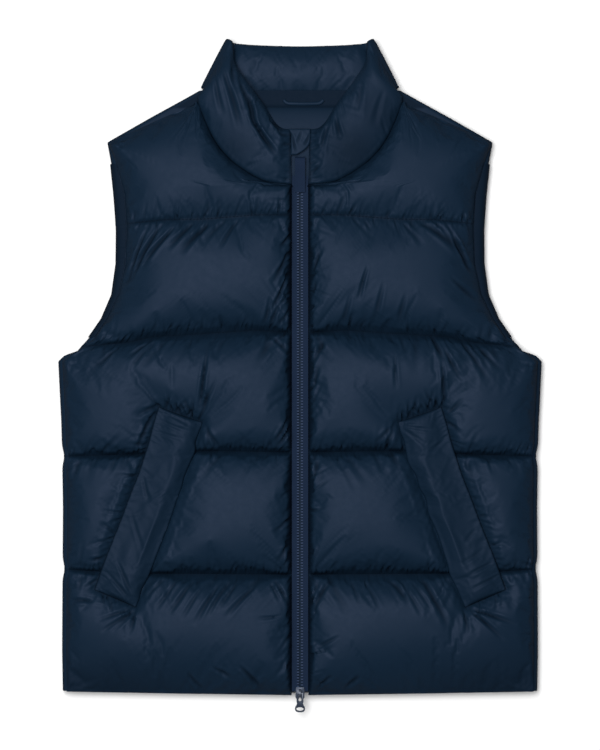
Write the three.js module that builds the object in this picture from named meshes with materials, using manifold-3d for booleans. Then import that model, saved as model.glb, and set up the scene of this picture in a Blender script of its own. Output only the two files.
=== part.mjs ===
// A padded, quilted vest with a stand collar and a two-way zip, laid flat on its back.
// Millimetres. X runs across the vest, Y from the hem to the collar, Z up from the surface it lies on.
// The origin is under the middle of the whole vest. Both halves are mirror images about X = 0,
// so the tables below give one half, with x as the distance from the centre line.

import * as THREE from 'three';
import { mergeVertices } from 'three/addons/utils/BufferGeometryUtils.js';
import Module from 'manifold-3d';

// Driving dimensions of the cloth
const SEAM_GAP = 0.35; // clearance between two pieces that are sewn together
const BACK_LOFT = 22; // height of the back panel's plain inner face
const BACK_GROOVE = 14; // how far a quilt line lifts the back's underside
const BACK_GROOVE_HALF = 26; // half the width of such a groove
const FRONT_INNER = BACK_LOFT + SEAM_GAP; // height of the fronts' plain inner face
const FRONT_LOFT = 27; // padding of a front baffle over its quilt lines
const FRONT_WALL = 4; // thickness of a front at its quilt lines and edges
const FRONT_EDGE_ROLL = 30; // width over which a front rises from its edge
const BAFFLE_HALF = 68; // half the height of a baffle
const ZIP_HALF_GAP = 9.8; // from the centre line to a front's zip edge
const SCALLOP_DEPTH = 2.6; // how far a quilt line pulls the side in
const SCALLOP_HALF = 9; // half the height of that notch

// The panel's outline on one side, from the hem up to the neck: the back reaches `back`,
// and the front's own side, armhole and shoulder edge lies at `front`
const OUTLINE = [
  { y: -380, back: 277, front: 271 },
  { y: -320, back: 278, front: 272 },
  { y: -226, back: 277.5, front: 271.5 },
  { y: -155, back: 277, front: 271 },
  { y: -92, back: 278, front: 272 },
  { y: -55, back: 279, front: 273 },
  { y: -25, back: 280.5, front: 274.5 },
  { y: 16, back: 282.5, front: 276.5 },
  { y: 23, back: 275, front: 268 },
  { y: 28, back: 260, front: 259 },
  { y: 42, back: 247.5, front: 240 },
  { y: 66, back: 231, front: 224 },
  { y: 94, back: 219, front: 210.5 },
  { y: 130, back: 214, front: 203 },
  { y: 172, back: 213.5, front: 201.5 },
  { y: 210, back: 216.5, front: 204 },
  { y: 244, back: 220, front: 213 },
  { y: 268, back: 224.5, front: 222 },
  { y: 271.6, back: 225, front: 219 },
  { y: 276, back: 217.5, front: 211 },
  { y: 300.5, back: 174.5, front: 156 },
  { y: 313.4, back: 151, front: 124.5 },
  { y: 318, back: 142.6, front: 121 },
  { y: 333.2, back: 115.4, front: 120 },
];
const SHOULDER_TIP = { x: 225, y: 271.6 };
const SHOULDER_CORNER = { x: 224.5, y: 267 }; // where the shoulder turns into the back's armhole
// Points of a front's armhole edge that a row runs through
const ARMHOLE_POINTS = [
  { x: 219, y: SHOULDER_TIP.y },
  { x: 222, y: 267 },
  { x: 203, y: 206 },
  { x: 201.5, y: 188 },
  { x: 201.5, y: 180 },
];

// The quilt lines and the two ends that the rows of the panels run between, as heights at x
const ROW_LINES = [
  { name: 'neck', x: [0, 115], y: [322.7, 331.5] },
  { name: 'chest', x: [10, 51, 113, 155, 200], y: [185.4, 185.4, 180.4, 180, 175.8] },
  { name: 'ribs', x: [10, 53, 113, 170, 203, 243], y: [49.1, 52, 47.9, 44.4, 37.5, 34] },
  { name: 'waist', x: [12, 75, 123, 179, 275], y: [-89.9, -88.7, -88.7, -92, -94.5] },
  { name: 'hip', x: [12, 174, 232, 275], y: [-232, -231, -228.6, -226] },
  { name: 'hem', x: [0, 25, 140, 277], y: [-372.7, -372.2, -370.6, -368.2] },
];
const QUILT_LINES = ROW_LINES.slice(1, 5);
const HEM = ROW_LINES[5];
const ROW_SPACING_X = 100; // where the distance between two quilt lines is measured

// The neck seam of a front, from the zip to the shoulder, with the collar's top edge over it
const NECK_SEAM = [
  { x: 9.8, y: 221.7, topX: 10.9, topY: 285, lift: 26, top: 27 },
  { x: 24, y: 222, topX: 21, topY: 286.5, lift: 26, top: 28 },
  { x: 40, y: 225, topX: 29, topY: 293, lift: 26, top: 29 },
  { x: 57, y: 233, topX: 39, topY: 308.5, lift: 26, top: 30 },
  { x: 79, y: 248.3, topX: 50, topY: 323.9, lift: 26, top: 30 },
  { x: 92, y: 262, topX: 57, topY: 333, lift: 26, top: 30 },
  { x: 102, y: 277, topX: 63.1, topY: 341.9, lift: 26, top: 29 },
  { x: 112, y: 299, topX: 71, topY: 353.5, lift: 26, top: 28 },
  { x: 118.8, y: 317.6, topX: 77, topY: 366, lift: 26, top: 27 },
];

// The collar
const COLLAR_WALL = 3; // from the middle of the wall to its outer face, at the seam and the top edge
const COLLAR_PAD = 9; // what the padding adds to that outside
const COLLAR_INSIDE = 2.5; // from the middle of the wall to its plain inner face
const COLLAR_FOLD_PAD = 2; // padding at the side folds
const COLLAR_INSIDE_PAD = 1.5; // what the padding adds to the inside
const COLLAR_CROWN = 2.4; // the padding is full past 1 / 2.4 of the wall's height
const COLLAR_BACK_HEIGHT = 8; // height of the middle of the wall behind the neck
const FOLD_RADIUS = 9; // of the middle of the wall round a side fold
const FOLD_BOTTOM = { x: 104.9, y: 329.8 }; // centre of the fold at the neck seam
const FOLD_TOP = { x: 75.3, y: 386.5 }; // and at the top edge
const FOLD_OUTWARD = { x: 0.892, y: 0.454 }; // across the fold, away from the neck
const FOLD_DEGREES = [55, 28, 0, -28, -55]; // where the wall's stations lie round the fold
const FOLD_SEAM = { x: 115, clear: 1.2 }; // the fold stays this far off the back's neck edge
// The station between the last point of the neck seam and the fold
const FOLD_START = {
  bottom: { x: 117, y: 325, z: 26 },
  top: { x: 78, y: 379, z: 26 },
  normal: { x: 0.3, y: 0.15, z: 0.94 },
  pad: 5,
};
const COLLAR_BACK = [
  { x: 84, topX: 64, topY: 386.2 },
  { x: 56, topX: 45, topY: 385 },
  { x: 28, topX: 23, topY: 384.2 },
  { x: 0, topX: 0, topY: 383.8 },
];

// Large soft folds in the fronts: where each starts, how it runs, its length, half width and depth
const FOLDS = [
  { x: 168, y: 176, dx: 0.62, dy: -0.78, length: 80, half: 7, depth: 5 },
  { x: 146, y: 172, dx: 0.58, dy: -0.81, length: 96, half: 8, depth: 5 },
  { x: 122, y: 172, dx: 0.5, dy: -0.87, length: 84, half: 9, depth: 4 },
  { x: 186, y: 170, dx: 0.6, dy: -0.8, length: 52, half: 6, depth: 4 },
  { x: 100, y: 38, dx: 0.1, dy: -0.99, length: 66, half: 9, depth: 5 },
  { x: 12, y: 140, dx: 0.35, dy: -0.94, length: 84, half: 8, depth: 5 },
  { x: 12, y: -20, dx: 0.55, dy: -0.84, length: 52, half: 8, depth: 4 },
  { x: 14, y: -160, dx: 0.7, dy: -0.7, length: 60, half: 9, depth: 4 },
  { x: 60, y: -366, dx: 0.55, dy: 0.84, length: 54, half: 9, depth: 4 },
  { x: 200, y: -366, dx: 0.3, dy: 0.95, length: 48, half: 9, depth: 3.5 },
];

// The slanted pocket welts: both long edges, from the top end to the bottom end
const WELT_EDGES = [
  { sideX: 163.8, sideY: -37.5, frontX: 113.9, frontY: -54.7 },
  { sideX: 170, sideY: -58, frontX: 119.5, frontY: -73 },
  { sideX: 175, sideY: -78, frontX: 123.8, frontY: -92 },
  { sideX: 186.2, sideY: -113, frontX: 133.5, frontY: -118 },
  { sideX: 198.2, sideY: -143, frontX: 142.5, frontY: -140 },
  { sideX: 209.2, sideY: -173, frontX: 151.5, frontY: -167 },
  { sideX: 224.5, sideY: -211, frontX: 170, frontY: -216 },
  { sideX: 231.5, sideY: -230, frontX: 180, frontY: -243 },
  { sideX: 238, sideY: -248.5, frontX: 191.3, frontY: -268.8 },
];
const WELT_THICKNESS = 12.5; // padding of a welt along its middle
const WELT_EDGE = 3.5; // its thickness along the stitching
const WELT_SINK = 0.6; // how much of the front's padding a welt presses flat
const WELT_SINK_REACH = 16; // how far beside the welt the padding is pressed
const WELT_SPAN = { length: 0.05, across: 0.17 }; // steps to the points near it that it rests on
const WELT_COLUMNS = 6;
const WELT_ROWS = 15;
const WELT_CLEAR = 0.7; // a welt's own coarse faces stay this far above the front's
const WELT_ROUND = { across: 2, length: 9 }; // how soon it reaches its full thickness, each way
const FACE_NEAR = 40; // a front's face further off than this is passed over

// Zip tape, chain and garage
const TAPE_BOTTOM = 25.6;
const TAPE_THICKNESS = 1.2;
const TAPE_END = { top: 284, bottom: -371 };
const CHAIN_HALF = 3.3;
const CHAIN_BOTTOM = 24.7;
const CHAIN_TOP = 27.7;
const CHAIN_END = { top: 252, bottom: -367 };
const GARAGE_BOTTOM = 33.6;
const GARAGE_THICKNESS = 2.2;
const GARAGE_CORNER = { left: -13.4, right: 12.8, top: 285.9, bottom: 255.2 };
const GARAGE_ROUND = { top: 1, right: 2, left: 3 };
const GARAGE_STEP = { inset: 3.4, below: 6, foot: 1.6 }; // the left edge under its top corner
const GARAGE_SWEEP = { inset: 0.9, start: 14, bend: 22, bendInset: 2, foot: 3, end: -5.2 };

// Zip sliders and pulls
const SLIDER = { length: 13.4, halfWidth: 5.35, plate: 1.6 };
const SLIDER_NARROW = { inset: 0.4, corner: 1.3, at: 4 }; // its plain end, narrower than the lobes
const SLIDER_LOBE = { at: 3.6, corner: 2.5, notch: 2.1, notchHalf: 0.9 };
const FLANGE = { depth: 0.9, inset: 0.5, below: 0.4, low: -4.6, high: 4.2 };
const SLIDER_Y = { top: 246.8, bottom: -369.8 };
const BRIDGE = { halfWidth: 1.2, half: 5, leg: 2.2, inner: 3.6, outer: 5, root: 0.4, corner: 1.2 };
const BRIDGE_SWELL = 4 / 3; // a curve reaches three quarters of the way to its control points
const RIBBON = { halfWidth: 5, length: 42, thickness: 1.4, tail: 28.6, clear: 0.45, bend: 1.6 };
const RIBBON_KNEE = { y: -20, lift: 1.6 }; // where the ribbon's slope down from the slider ends
const TAB = { thickness: 1.6, windowHalf: 1.7, windowTop: 0.8, windowLength: 8.8, tilt: 6 };
const TAB_PIVOT_LIFT = 1.8; // of the tab's bar over the slider's plate
const TAB_REACH = 391.9; // how far below the middle the tab ends
const TAB_OUTLINE = [
  { along: -1.2, half: 3.2 },
  { along: -0.6, half: 4 },
  { along: 9, half: 4 },
  { along: 11.3, half: 3.4 },
  { along: 13.3, half: 4.1 },
  { along: 15.4, half: 5.5 },
  { along: 17.6, half: 5.9 },
  { along: 19.6, half: 5.4 },
  { along: 20.9, half: 4.1 },
  { along: 21.5, half: 2 },
];
const TAB_RING = { along: 17.8, halfWidth: 4.3, halfLength: 2.2 };

// Hanger loop behind the neck
const LOOP = { centre: 4, half: 23, top: 320.4, sag: 4.6, width: 4.4, thickness: 2.6 };
const LOOP_END = { length: 3, sag: 0.7 }; // its steep ends, with their share of the sag
const LOOP_STEPS = 24;

// How finely curves and searches are worked out
const CURVE_STEPS = { slider: 5, profile: 6, ring: 8 };
const SEARCH_STEPS = 80;
const SEARCH_SHARE = 0.4; // how much of the way each step of a search goes
const MERGE_DISTANCE = 1e-4;

// Finishes
const NYLON = { color: 0x1b2a41, roughness: 0.42, metalness: 0 };
const TAPE_CLOTH = { color: 0x1d2b47, roughness: 0.8, metalness: 0 };
const TEETH = { color: 0x25304a, roughness: 0.45, metalness: 0 };
const METAL = { color: 0x20283a, roughness: 0.35, metalness: 0.6 };

const wasm = await Module();
wasm.setup();

// A quarter of an ellipse: 0 at the edge, 1 from a full width in
function arch(share) {
  const rest = 1 - Math.min(Math.max(share, 0), 1);
  return Math.sqrt(1 - rest * rest);
}

function mix(a, b, share) {
  return a + (b - a) * share;
}

// The value at x of a line through points, level past both ends
function along(xs, values, x) {
  if (x <= xs[0]) return values[0];
  for (let i = 1; i < xs.length; i += 1) {
    if (x <= xs[i]) {
      return mix(values[i - 1], values[i], (x - xs[i - 1]) / (xs[i] - xs[i - 1]));
    }
  }
  return values[values.length - 1];
}

const OUTLINE_Y = OUTLINE.map((row) => row.y);
const OUTLINE_BACK = OUTLINE.map((row) => row.back);
const OUTLINE_FRONT = OUTLINE.map((row) => row.front);

// The height of the row at a level, which is 0 at the neck and 5 at the hem
function rowHeight(level, x) {
  const below = Math.min(Math.floor(level), ROW_LINES.length - 2);
  const upper = ROW_LINES[below];
  const lower = ROW_LINES[below + 1];
  return mix(along(upper.x, upper.y, x), along(lower.x, lower.y, x), level - below);
}

// The level of the row that runs through a point
function levelThrough(x, y) {
  let low = 0;
  let high = ROW_LINES.length - 1;
  for (let step = 0; step < SEARCH_STEPS; step += 1) {
    const middle = (low + high) / 2;
    if (rowHeight(middle, x) > y) low = middle;
    else high = middle;
  }
  return (low + high) / 2;
}

function quiltDistance(x, y) {
  return Math.min(...QUILT_LINES.map((line) => Math.abs(y - along(line.x, line.y, x))));
}

function scallop(y, x) {
  const distance = quiltDistance(x, y) / SCALLOP_HALF;
  return y < 0 ? SCALLOP_DEPTH * Math.exp(-distance * distance) : 0;
}

// Where a row meets an edge of the outline, found by stepping towards it
function rowEnd(level, edgeValues) {
  let x = edgeValues[0];
  for (let step = 0; step < SEARCH_STEPS; step += 1) {
    x = mix(x, along(OUTLINE_Y, edgeValues, rowHeight(level, x)), SEARCH_SHARE);
  }
  return x - scallop(rowHeight(level, x), x);
}

// Where a row of a front meets the neck seam or, below it, the zip edge
function rowStart(level) {
  const seam = NECK_SEAM.map((row) => ({ x: row.x + SEAM_GAP, y: row.y - SEAM_GAP }));
  if (rowHeight(level, seam[0].x) <= seam[0].y) return ZIP_HALF_GAP;
  let low = seam[0].x;
  let high = seam[seam.length - 1].x;
  const xs = seam.map((point) => point.x);
  const ys = seam.map((point) => point.y);
  for (let step = 0; step < SEARCH_STEPS; step += 1) {
    const middle = (low + high) / 2;
    if (along(xs, ys, middle) < rowHeight(level, middle)) low = middle;
    else high = middle;
  }
  return (low + high) / 2;
}

// Distance from a point to a chain of points
function distanceTo(chain, x, y) {
  let nearest = Infinity;
  for (let i = 1; i < chain.length; i += 1) {
    const a = chain[i - 1];
    const b = chain[i];
    const lengthSquared = (b.x - a.x) ** 2 + (b.y - a.y) ** 2;
    const share = ((x - a.x) * (b.x - a.x) + (y - a.y) * (b.y - a.y)) / lengthSquared;
    const held = Math.min(Math.max(share, 0), 1);
    const gap = Math.hypot(x - mix(a.x, b.x, held), y - mix(a.y, b.y, held));
    nearest = Math.min(nearest, gap);
  }
  return nearest;
}

const NECK_CORNER = NECK_SEAM[NECK_SEAM.length - 1];
const HEM_CORNER = { x: OUTLINE_FRONT[0], y: HEM.y[HEM.y.length - 1] };
const FRONT_EDGE = [
  { x: ZIP_HALF_GAP, y: HEM.y[0] },
  ...NECK_SEAM,
  ...OUTLINE.filter((row) => row.y < NECK_CORNER.y && row.y > HEM_CORNER.y)
    .reverse()
    .map((row) => ({ x: row.front, y: row.y })),
  HEM_CORNER,
  { x: ZIP_HALF_GAP, y: HEM.y[0] },
];

const WELT_SIDE = WELT_EDGES.map((row) => ({ x: row.sideX, y: row.sideY }));
const WELT_FRONT = WELT_EDGES.map((row) => ({ x: row.frontX, y: row.frontY }));
const WELT_SIDE_FIRST = [WELT_FRONT[0], ...WELT_SIDE, WELT_FRONT[WELT_FRONT.length - 1]];

// Whether a point lies under the welt
function underWelt(x, y) {
  const ring = [...WELT_SIDE, ...[...WELT_FRONT].reverse()];
  let inside = false;
  ring.forEach((a, i) => {
    const b = ring[(i + 1) % ring.length];
    const crosses = a.y > y !== b.y > y;
    if (crosses && x < a.x + ((y - a.y) * (b.x - a.x)) / (b.y - a.y)) inside = !inside;
  });
  return inside;
}

// How much of the padding is left at a point beside or under the welt
function weltPress(x, y) {
  if (underWelt(x, y)) return 1 - WELT_SINK;
  const chains = [WELT_SIDE_FIRST, WELT_FRONT];
  const gap = Math.min(...chains.map((chain) => distanceTo(chain, x, y)));
  return 1 - WELT_SINK * (1 - Math.min(gap / WELT_SINK_REACH, 1)) ** 2;
}

// The depth of the large folds at a point
function foldDepth(x, y) {
  let depth = 0;
  FOLDS.forEach((fold) => {
    const forward = (x - fold.x) * fold.dx + (y - fold.y) * fold.dy;
    const aside = ((x - fold.x) * fold.dy - (y - fold.y) * fold.dx) / fold.half;
    const share = forward / fold.length;
    if (share < 0 || share > 1) return;
    depth += fold.depth * Math.sin(Math.PI * share) * Math.exp(-aside * aside);
  });
  return depth;
}

// The height of a front's outer face over a point of the half pattern
function frontTop(x, y) {
  const edge = arch(distanceTo(FRONT_EDGE, x, y) / FRONT_EDGE_ROLL);
  const baffle = arch(quiltDistance(x, y) / BAFFLE_HALF);
  const loft = edge * baffle * weltPress(x, y);
  return FRONT_INNER + FRONT_WALL + loft * (FRONT_LOFT - foldDepth(x, y));
}

// Joins rings of equal length into a closed solid whose faces point out.
// `flatten` gives the two coordinates in which an end ring is filled, and `parts` how many equal
// runs of points it is filled in.
function loftRings(rings, flatten, parts = 1) {
  const size = rings[0].length;
  const positions = rings.flat().flatMap((point) => [point.x, point.y, point.z]);
  let faces = [];
  for (let r = 1; r < rings.length; r += 1) {
    for (let i = 0; i < size; i += 1) {
      const next = (i + 1) % size;
      const low = (r - 1) * size;
      const high = r * size;
      faces.push([low + i, low + next, high + next], [low + i, high + next, high + i]);
    }
  }
  const last = rings.length - 1;
  faces.push(...ringCap(rings[0], flatten, parts).map(([a, b, c]) => [a, c, b]));
  const lastCap = ringCap(rings[last], flatten, parts);
  faces.push(...lastCap.map((face) => face.map((k) => k + last * size)));
  if (signedVolume(positions, faces) < 0) faces = faces.map(([a, b, c]) => [a, c, b]);
  const geometry = new THREE.BufferGeometry();
  geometry.setAttribute('position', new THREE.Float32BufferAttribute(positions, 3));
  geometry.setIndex(faces.flat());
  geometry.computeVertexNormals();
  return geometry;
}

// The faces that fill a ring, turned the way the ring runs
function ringCap(ring, flatten, parts) {
  const run = ring.length / parts;
  const faces = [];
  for (let part = 0; part < parts; part += 1) {
    const numbers = ring.map((point, i) => i).slice(part * run, (part + 1) * run);
    if (parts > 1) numbers.push(((part + 1) * run) % ring.length);
    const outline = numbers.map((k) => new THREE.Vector2(...flatten(ring[k])));
    const ringTurn = Math.sign(THREE.ShapeUtils.area(outline));
    THREE.ShapeUtils.triangulateShape(outline, []).forEach((face) => {
      const faceTurn = Math.sign(THREE.ShapeUtils.area(face.map((k) => outline[k])));
      const [a, b, c] = face.map((k) => numbers[k]);
      faces.push(faceTurn === ringTurn ? [a, b, c] : [a, c, b]);
    });
  }
  return faces;
}

function signedVolume(positions, faces) {
  const corner = (k) => new THREE.Vector3(...positions.slice(3 * k, 3 * k + 3));
  return faces.reduce((sum, [a, b, c]) => sum + corner(a).dot(corner(b).cross(corner(c))), 0);
}

// Merges a three.js solid's vertices and hands it to the boolean library
function toManifold(geometry) {
  const plain = geometry.clone();
  plain.deleteAttribute('normal');
  plain.deleteAttribute('uv');
  const merged = mergeVertices(plain, MERGE_DISTANCE);
  const vertProperties = new Float32Array(merged.attributes.position.array);
  const triVerts = new Uint32Array(merged.index.array);
  return new wasm.Manifold(new wasm.Mesh({ numProp: 3, vertProperties, triVerts }));
}

function joined(geometries) {
  const mesh = geometries.map(toManifold).reduce((sum, solid) => sum.add(solid)).getMesh();
  const geometry = new THREE.BufferGeometry();
  geometry.setAttribute('position', new THREE.BufferAttribute(mesh.vertProperties, 3));
  geometry.setIndex(new THREE.BufferAttribute(mesh.triVerts, 1));
  geometry.computeVertexNormals();
  return geometry;
}

// The same solid on the other side of the centre line
function mirrored(geometry) {
  const copy = geometry.clone();
  copy.scale(-1, 1, 1);
  const index = Array.from(copy.index.array);
  for (let i = 0; i < index.length; i += 3) {
    [index[i + 1], index[i + 2]] = [index[i + 2], index[i + 1]];
  }
  copy.setIndex(index);
  copy.computeVertexNormals();
  return copy;
}

const vest = new THREE.Group();

function addPiece(name, geometry, finish) {
  const mesh = new THREE.Mesh(geometry, new THREE.MeshStandardMaterial(finish));
  mesh.name = name;
  vest.add(mesh);
  return mesh;
}

// Rows of one baffle between two levels, close together where the padding turns down
function baffleLevels(level, steps) {
  const levels = [];
  for (let i = 0; i < steps; i += 1) {
    levels.push(level + (1 - Math.cos((Math.PI * i) / steps)) / 2);
  }
  return levels;
}

// Levels down to the chest line: through each point of the neck seam and the shoulder tip
function yokeLevels(points) {
  const levels = points.map((point) => levelThrough(point.x, point.y));
  return levels.filter((level) => level < 1).sort((a, b) => a - b);
}

const FRONT_STEPS = 10;
const FRONT_COLUMNS = [0, 1.2, 4.5, 10, 18, 30]; // distances in from both edges of a row
const FRONT_MIDDLE = 11;
const FRONT_NARROW = 2.6; // a row under this many edge strips wide has narrower strips

// Shares of a row's width at which its points lie
function columnShares(width) {
  const reach = Math.min(1, width / (FRONT_NARROW * FRONT_COLUMNS[FRONT_COLUMNS.length - 1]));
  const edge = FRONT_COLUMNS.map((distance) => (distance * reach) / width);
  const inner = edge[edge.length - 1];
  const middle = [];
  for (let i = 1; i < FRONT_MIDDLE; i += 1) {
    middle.push(mix(inner, 1 - inner, i / FRONT_MIDDLE));
  }
  return [...edge, ...middle, ...[...edge].reverse().map((share) => 1 - share)];
}

function frontRings() {
  const seam = NECK_SEAM.map((row) => ({ x: row.x + SEAM_GAP, y: row.y - SEAM_GAP }));
  const levels = yokeLevels([...seam, ...ARMHOLE_POINTS]);
  for (let baffle = 1; baffle < 5; baffle += 1) levels.push(...baffleLevels(baffle, FRONT_STEPS));
  levels.push(5);
  return levels.map((level) => {
    const start = rowStart(level);
    const end = rowEnd(level, OUTLINE_FRONT);
    const ring = columnShares(end - start).map((share) => {
      const x = mix(start, end, share);
      const y = rowHeight(level, x);
      return { x, y, z: frontTop(x, y) };
    });
    const inner = { ...ring[0], z: FRONT_INNER };
    const outer = { ...ring[ring.length - 1], z: FRONT_INNER };
    return [...ring, outer, inner];
  });
}

// A back row: the underside with its groove, a round edge on both sides and the plain inner face
const BACK_EDGE = [
  { inset: 14, share: 0 },
  { inset: 6, share: 0.1 },
  { inset: 1.6, share: 0.3 },
  { inset: 0, share: 0.55 },
  { inset: 1.4, share: 0.83 },
  { inset: 5.4, share: 1 },
];
const BACK_COLUMNS = 7; // on one half, between the centre line and the rounded edge

function backUnder(x, y) {
  return BACK_GROOVE * (1 - arch(quiltDistance(Math.abs(x), y) / BACK_GROOVE_HALF));
}

function backHalf(level) {
  const end = rowEnd(level, OUTLINE_BACK);
  const inner = end - BACK_EDGE[0].inset;
  const under = [];
  for (let i = 1; i < BACK_COLUMNS; i += 1) {
    const x = (inner * i) / BACK_COLUMNS;
    const y = rowHeight(level, x);
    under.push({ x, y, z: backUnder(x, y) });
  }
  const edge = BACK_EDGE.map((step) => {
    const x = end - step.inset;
    const y = rowHeight(level, x);
    return { x, y, z: mix(backUnder(x, y), BACK_LOFT, step.share) };
  });
  return [...under, ...edge];
}

const BACK_DISTANCES = [0, 1.2, 4.5, 10, 18, BACK_GROOVE_HALF];
// Levels of the rows between the grooves: in the yoke, then in each baffle down to the hem,
// with more rows where the armhole curves
const BACK_BETWEEN = [0, 0.1, 0.22, 0.36, 0.5, 1.3, 1.5, 1.64, 2.3, 2.5, 3.5, 4.5, 5];

function backLevels() {
  const corners = [SHOULDER_TIP, SHOULDER_CORNER].map((point) => levelThrough(point.x, point.y));
  const levels = [...BACK_BETWEEN, ...corners];
  QUILT_LINES.forEach((quiltLine, i) => {
    const line = i + 1;
    const here = rowHeight(line, ROW_SPACING_X);
    const above = rowHeight(line - 1, ROW_SPACING_X) - here;
    const below = here - rowHeight(line + 1, ROW_SPACING_X);
    BACK_DISTANCES.forEach((distance) => {
      levels.push(line + distance / below);
      if (distance > 0) levels.push(line - distance / above);
    });
  });
  return levels.sort((a, b) => a - b);
}

function backRings() {
  return backLevels().map((level) => {
    const right = backHalf(level);
    const left = [...right].reverse().map((point) => ({ ...point, x: -point.x }));
    const middleY = rowHeight(level, 0);
    const under = { x: 0, y: middleY, z: backUnder(0, middleY) };
    const over = { x: 0, y: middleY, z: BACK_LOFT };
    return [under, ...right, over, ...left];
  });
}

// The collar's wall at one station: outer face from the seam up, then the inner face down
const COLLAR_SHARES = [0, 0.06, 0.2, 0.4, 0.6, 0.8, 0.94, 1];
const COLLAR_INNER_SHARES = [1, 0.75, 0.5, 0.25, 0];

function collarRing(bottom, top, normal, pad) {
  const wall = (share, offset) => ({
    x: mix(bottom.x, top.x, share) + normal.x * offset,
    y: mix(bottom.y, top.y, share) + normal.y * offset,
    z: Math.max(0, mix(bottom.z, top.z, share) + normal.z * offset),
  });
  const bulge = (share) => arch(Math.min(share, 1 - share) * COLLAR_CROWN);
  const outer = COLLAR_SHARES.map((share) => wall(share, COLLAR_WALL + pad * bulge(share)));
  const inner = COLLAR_INNER_SHARES.map((share) => {
    return wall(share, -COLLAR_INSIDE - Math.min(pad, COLLAR_INSIDE_PAD) * bulge(share));
  });
  return [...outer, ...inner];
}

function collarHalf() {
  const up = { x: 0, y: 0, z: 1 };
  const rings = NECK_SEAM.map((row, i) => {
    const pad = i === 0 ? COLLAR_PAD / 3 : COLLAR_PAD;
    const bottom = { x: row.x, y: row.y, z: row.lift };
    return collarRing(bottom, { x: row.topX, y: row.topY, z: row.top }, up, pad);
  });
  const { bottom: startBottom, top: startTop, normal: startNormal, pad: startPad } = FOLD_START;
  rings.push(collarRing(startBottom, startTop, startNormal, startPad));
  const middle = COLLAR_BACK_HEIGHT + FOLD_RADIUS;
  FOLD_DEGREES.forEach((degrees) => {
    const turn = THREE.MathUtils.degToRad(degrees);
    const out = Math.cos(turn);
    const z = middle + FOLD_RADIUS * Math.sin(turn);
    const reach = (centre, floorY) => ({
      x: centre.x + FOLD_OUTWARD.x * FOLD_RADIUS * out,
      y: Math.max(centre.y + FOLD_OUTWARD.y * FOLD_RADIUS * out, floorY),
      z,
    });
    const normal = { x: FOLD_OUTWARD.x * out, y: FOLD_OUTWARD.y * out, z: Math.sin(turn) };
    const seamY = rowHeight(0, FOLD_SEAM.x) + FOLD_SEAM.clear;
    rings.push(collarRing(reach(FOLD_BOTTOM, seamY), reach(FOLD_TOP, 0), normal, COLLAR_FOLD_PAD));
  });
  const down = { x: 0, y: 0, z: -1 };
  COLLAR_BACK.forEach((row) => {
    const bottom = { x: row.x, y: rowHeight(0, row.x) + SEAM_GAP, z: COLLAR_BACK_HEIGHT };
    const top = { x: row.topX, y: row.topY, z: COLLAR_BACK_HEIGHT };
    rings.push(collarRing(bottom, top, down, COLLAR_PAD));
  });
  return rings;
}

function collarRings() {
  const half = collarHalf();
  const other = half
    .slice(0, -1)
    .reverse()
    .map((ring) => ring.map((point) => ({ ...point, x: -point.x })));
  return [...half, ...other];
}

// A strip that rolls over the back's armhole edge, made from the back's own edge, moved out
const FACING_TURN = [
  { inset: 5.4, share: 1, outX: 0.2, outZ: 1 },
  { inset: 1.4, share: 0.83, outX: 0.8, outZ: 0.6 },
  { inset: 0, share: 0.55, outX: 1, outZ: 0 },
];
const FACING_THICKNESS = 1.1;
const FACING_LEVELS = { first: 0.55, last: 1.93 };
const FACING_CLEAR = 1; // from the strip's inner edge to the front's armhole edge
const FACING_FLAT = 0.3; // the least width of its flat inner part

function facingRings() {
  const { first, last } = FACING_LEVELS;
  const levels = backLevels().filter((level) => level > first && level < last);
  return levels.map((level) => {
    const end = rowEnd(level, OUTLINE_BACK);
    const frontEnd = rowEnd(level, OUTLINE_FRONT);
    const gap = Math.max(end - frontEnd - FACING_CLEAR, FACING_TURN[0].inset + FACING_FLAT);
    const layer = (offset) => {
      const start = { x: end - gap, y: rowHeight(level, end - gap), z: BACK_LOFT + offset };
      const turned = FACING_TURN.map((step) => {
        const x = end - step.inset;
        const y = rowHeight(level, x);
        const z = mix(backUnder(x, y), BACK_LOFT, step.share);
        return { x: x + step.outX * offset, y, z: z + step.outZ * offset };
      });
      return [start, ...turned];
    };
    const clear = 2 * SEAM_GAP;
    return [...layer(clear), ...layer(clear + FACING_THICKNESS).reverse()];
  });
}

const WELT_STEPS = WELT_EDGES.map((row, i) => i / (WELT_EDGES.length - 1));

// A point of the welt's pattern: `length` runs from its top end, `across` from its side edge
function weltPoint(length, across) {
  const at = (name) => along(WELT_STEPS, WELT_EDGES.map((row) => row[name]), length);
  return {
    x: mix(at('sideX'), at('frontX'), across),
    y: mix(at('sideY'), at('frontY'), across),
  };
}

// The height of a front's own faces over a point, from the rings that the front is made of
function faceHeight(rings, x, y) {
  const columns = rings[0].length - 2;
  for (let r = 1; r < rings.length; r += 1) {
    for (let i = 1; i < columns; i += 1) {
      const a = rings[r - 1][i - 1];
      const c = rings[r][i];
      const corners = [rings[r - 1][i], rings[r][i - 1]];
      const aside = x < a.x - FACE_NEAR || x > c.x + FACE_NEAR;
      if (aside || y > a.y + FACE_NEAR || y < c.y - FACE_NEAR) continue;
      for (const b of corners) {
        const area = (b.x - a.x) * (c.y - a.y) - (b.y - a.y) * (c.x - a.x);
        const shareB = ((x - a.x) * (c.y - a.y) - (y - a.y) * (c.x - a.x)) / area;
        const shareC = ((b.x - a.x) * (y - a.y) - (b.y - a.y) * (x - a.x)) / area;
        if (shareB >= 0 && shareC >= 0 && shareB + shareC <= 1) {
          return a.z + shareB * (b.z - a.z) + shareC * (c.z - a.z);
        }
      }
    }
  }
  return 0;
}

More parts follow.
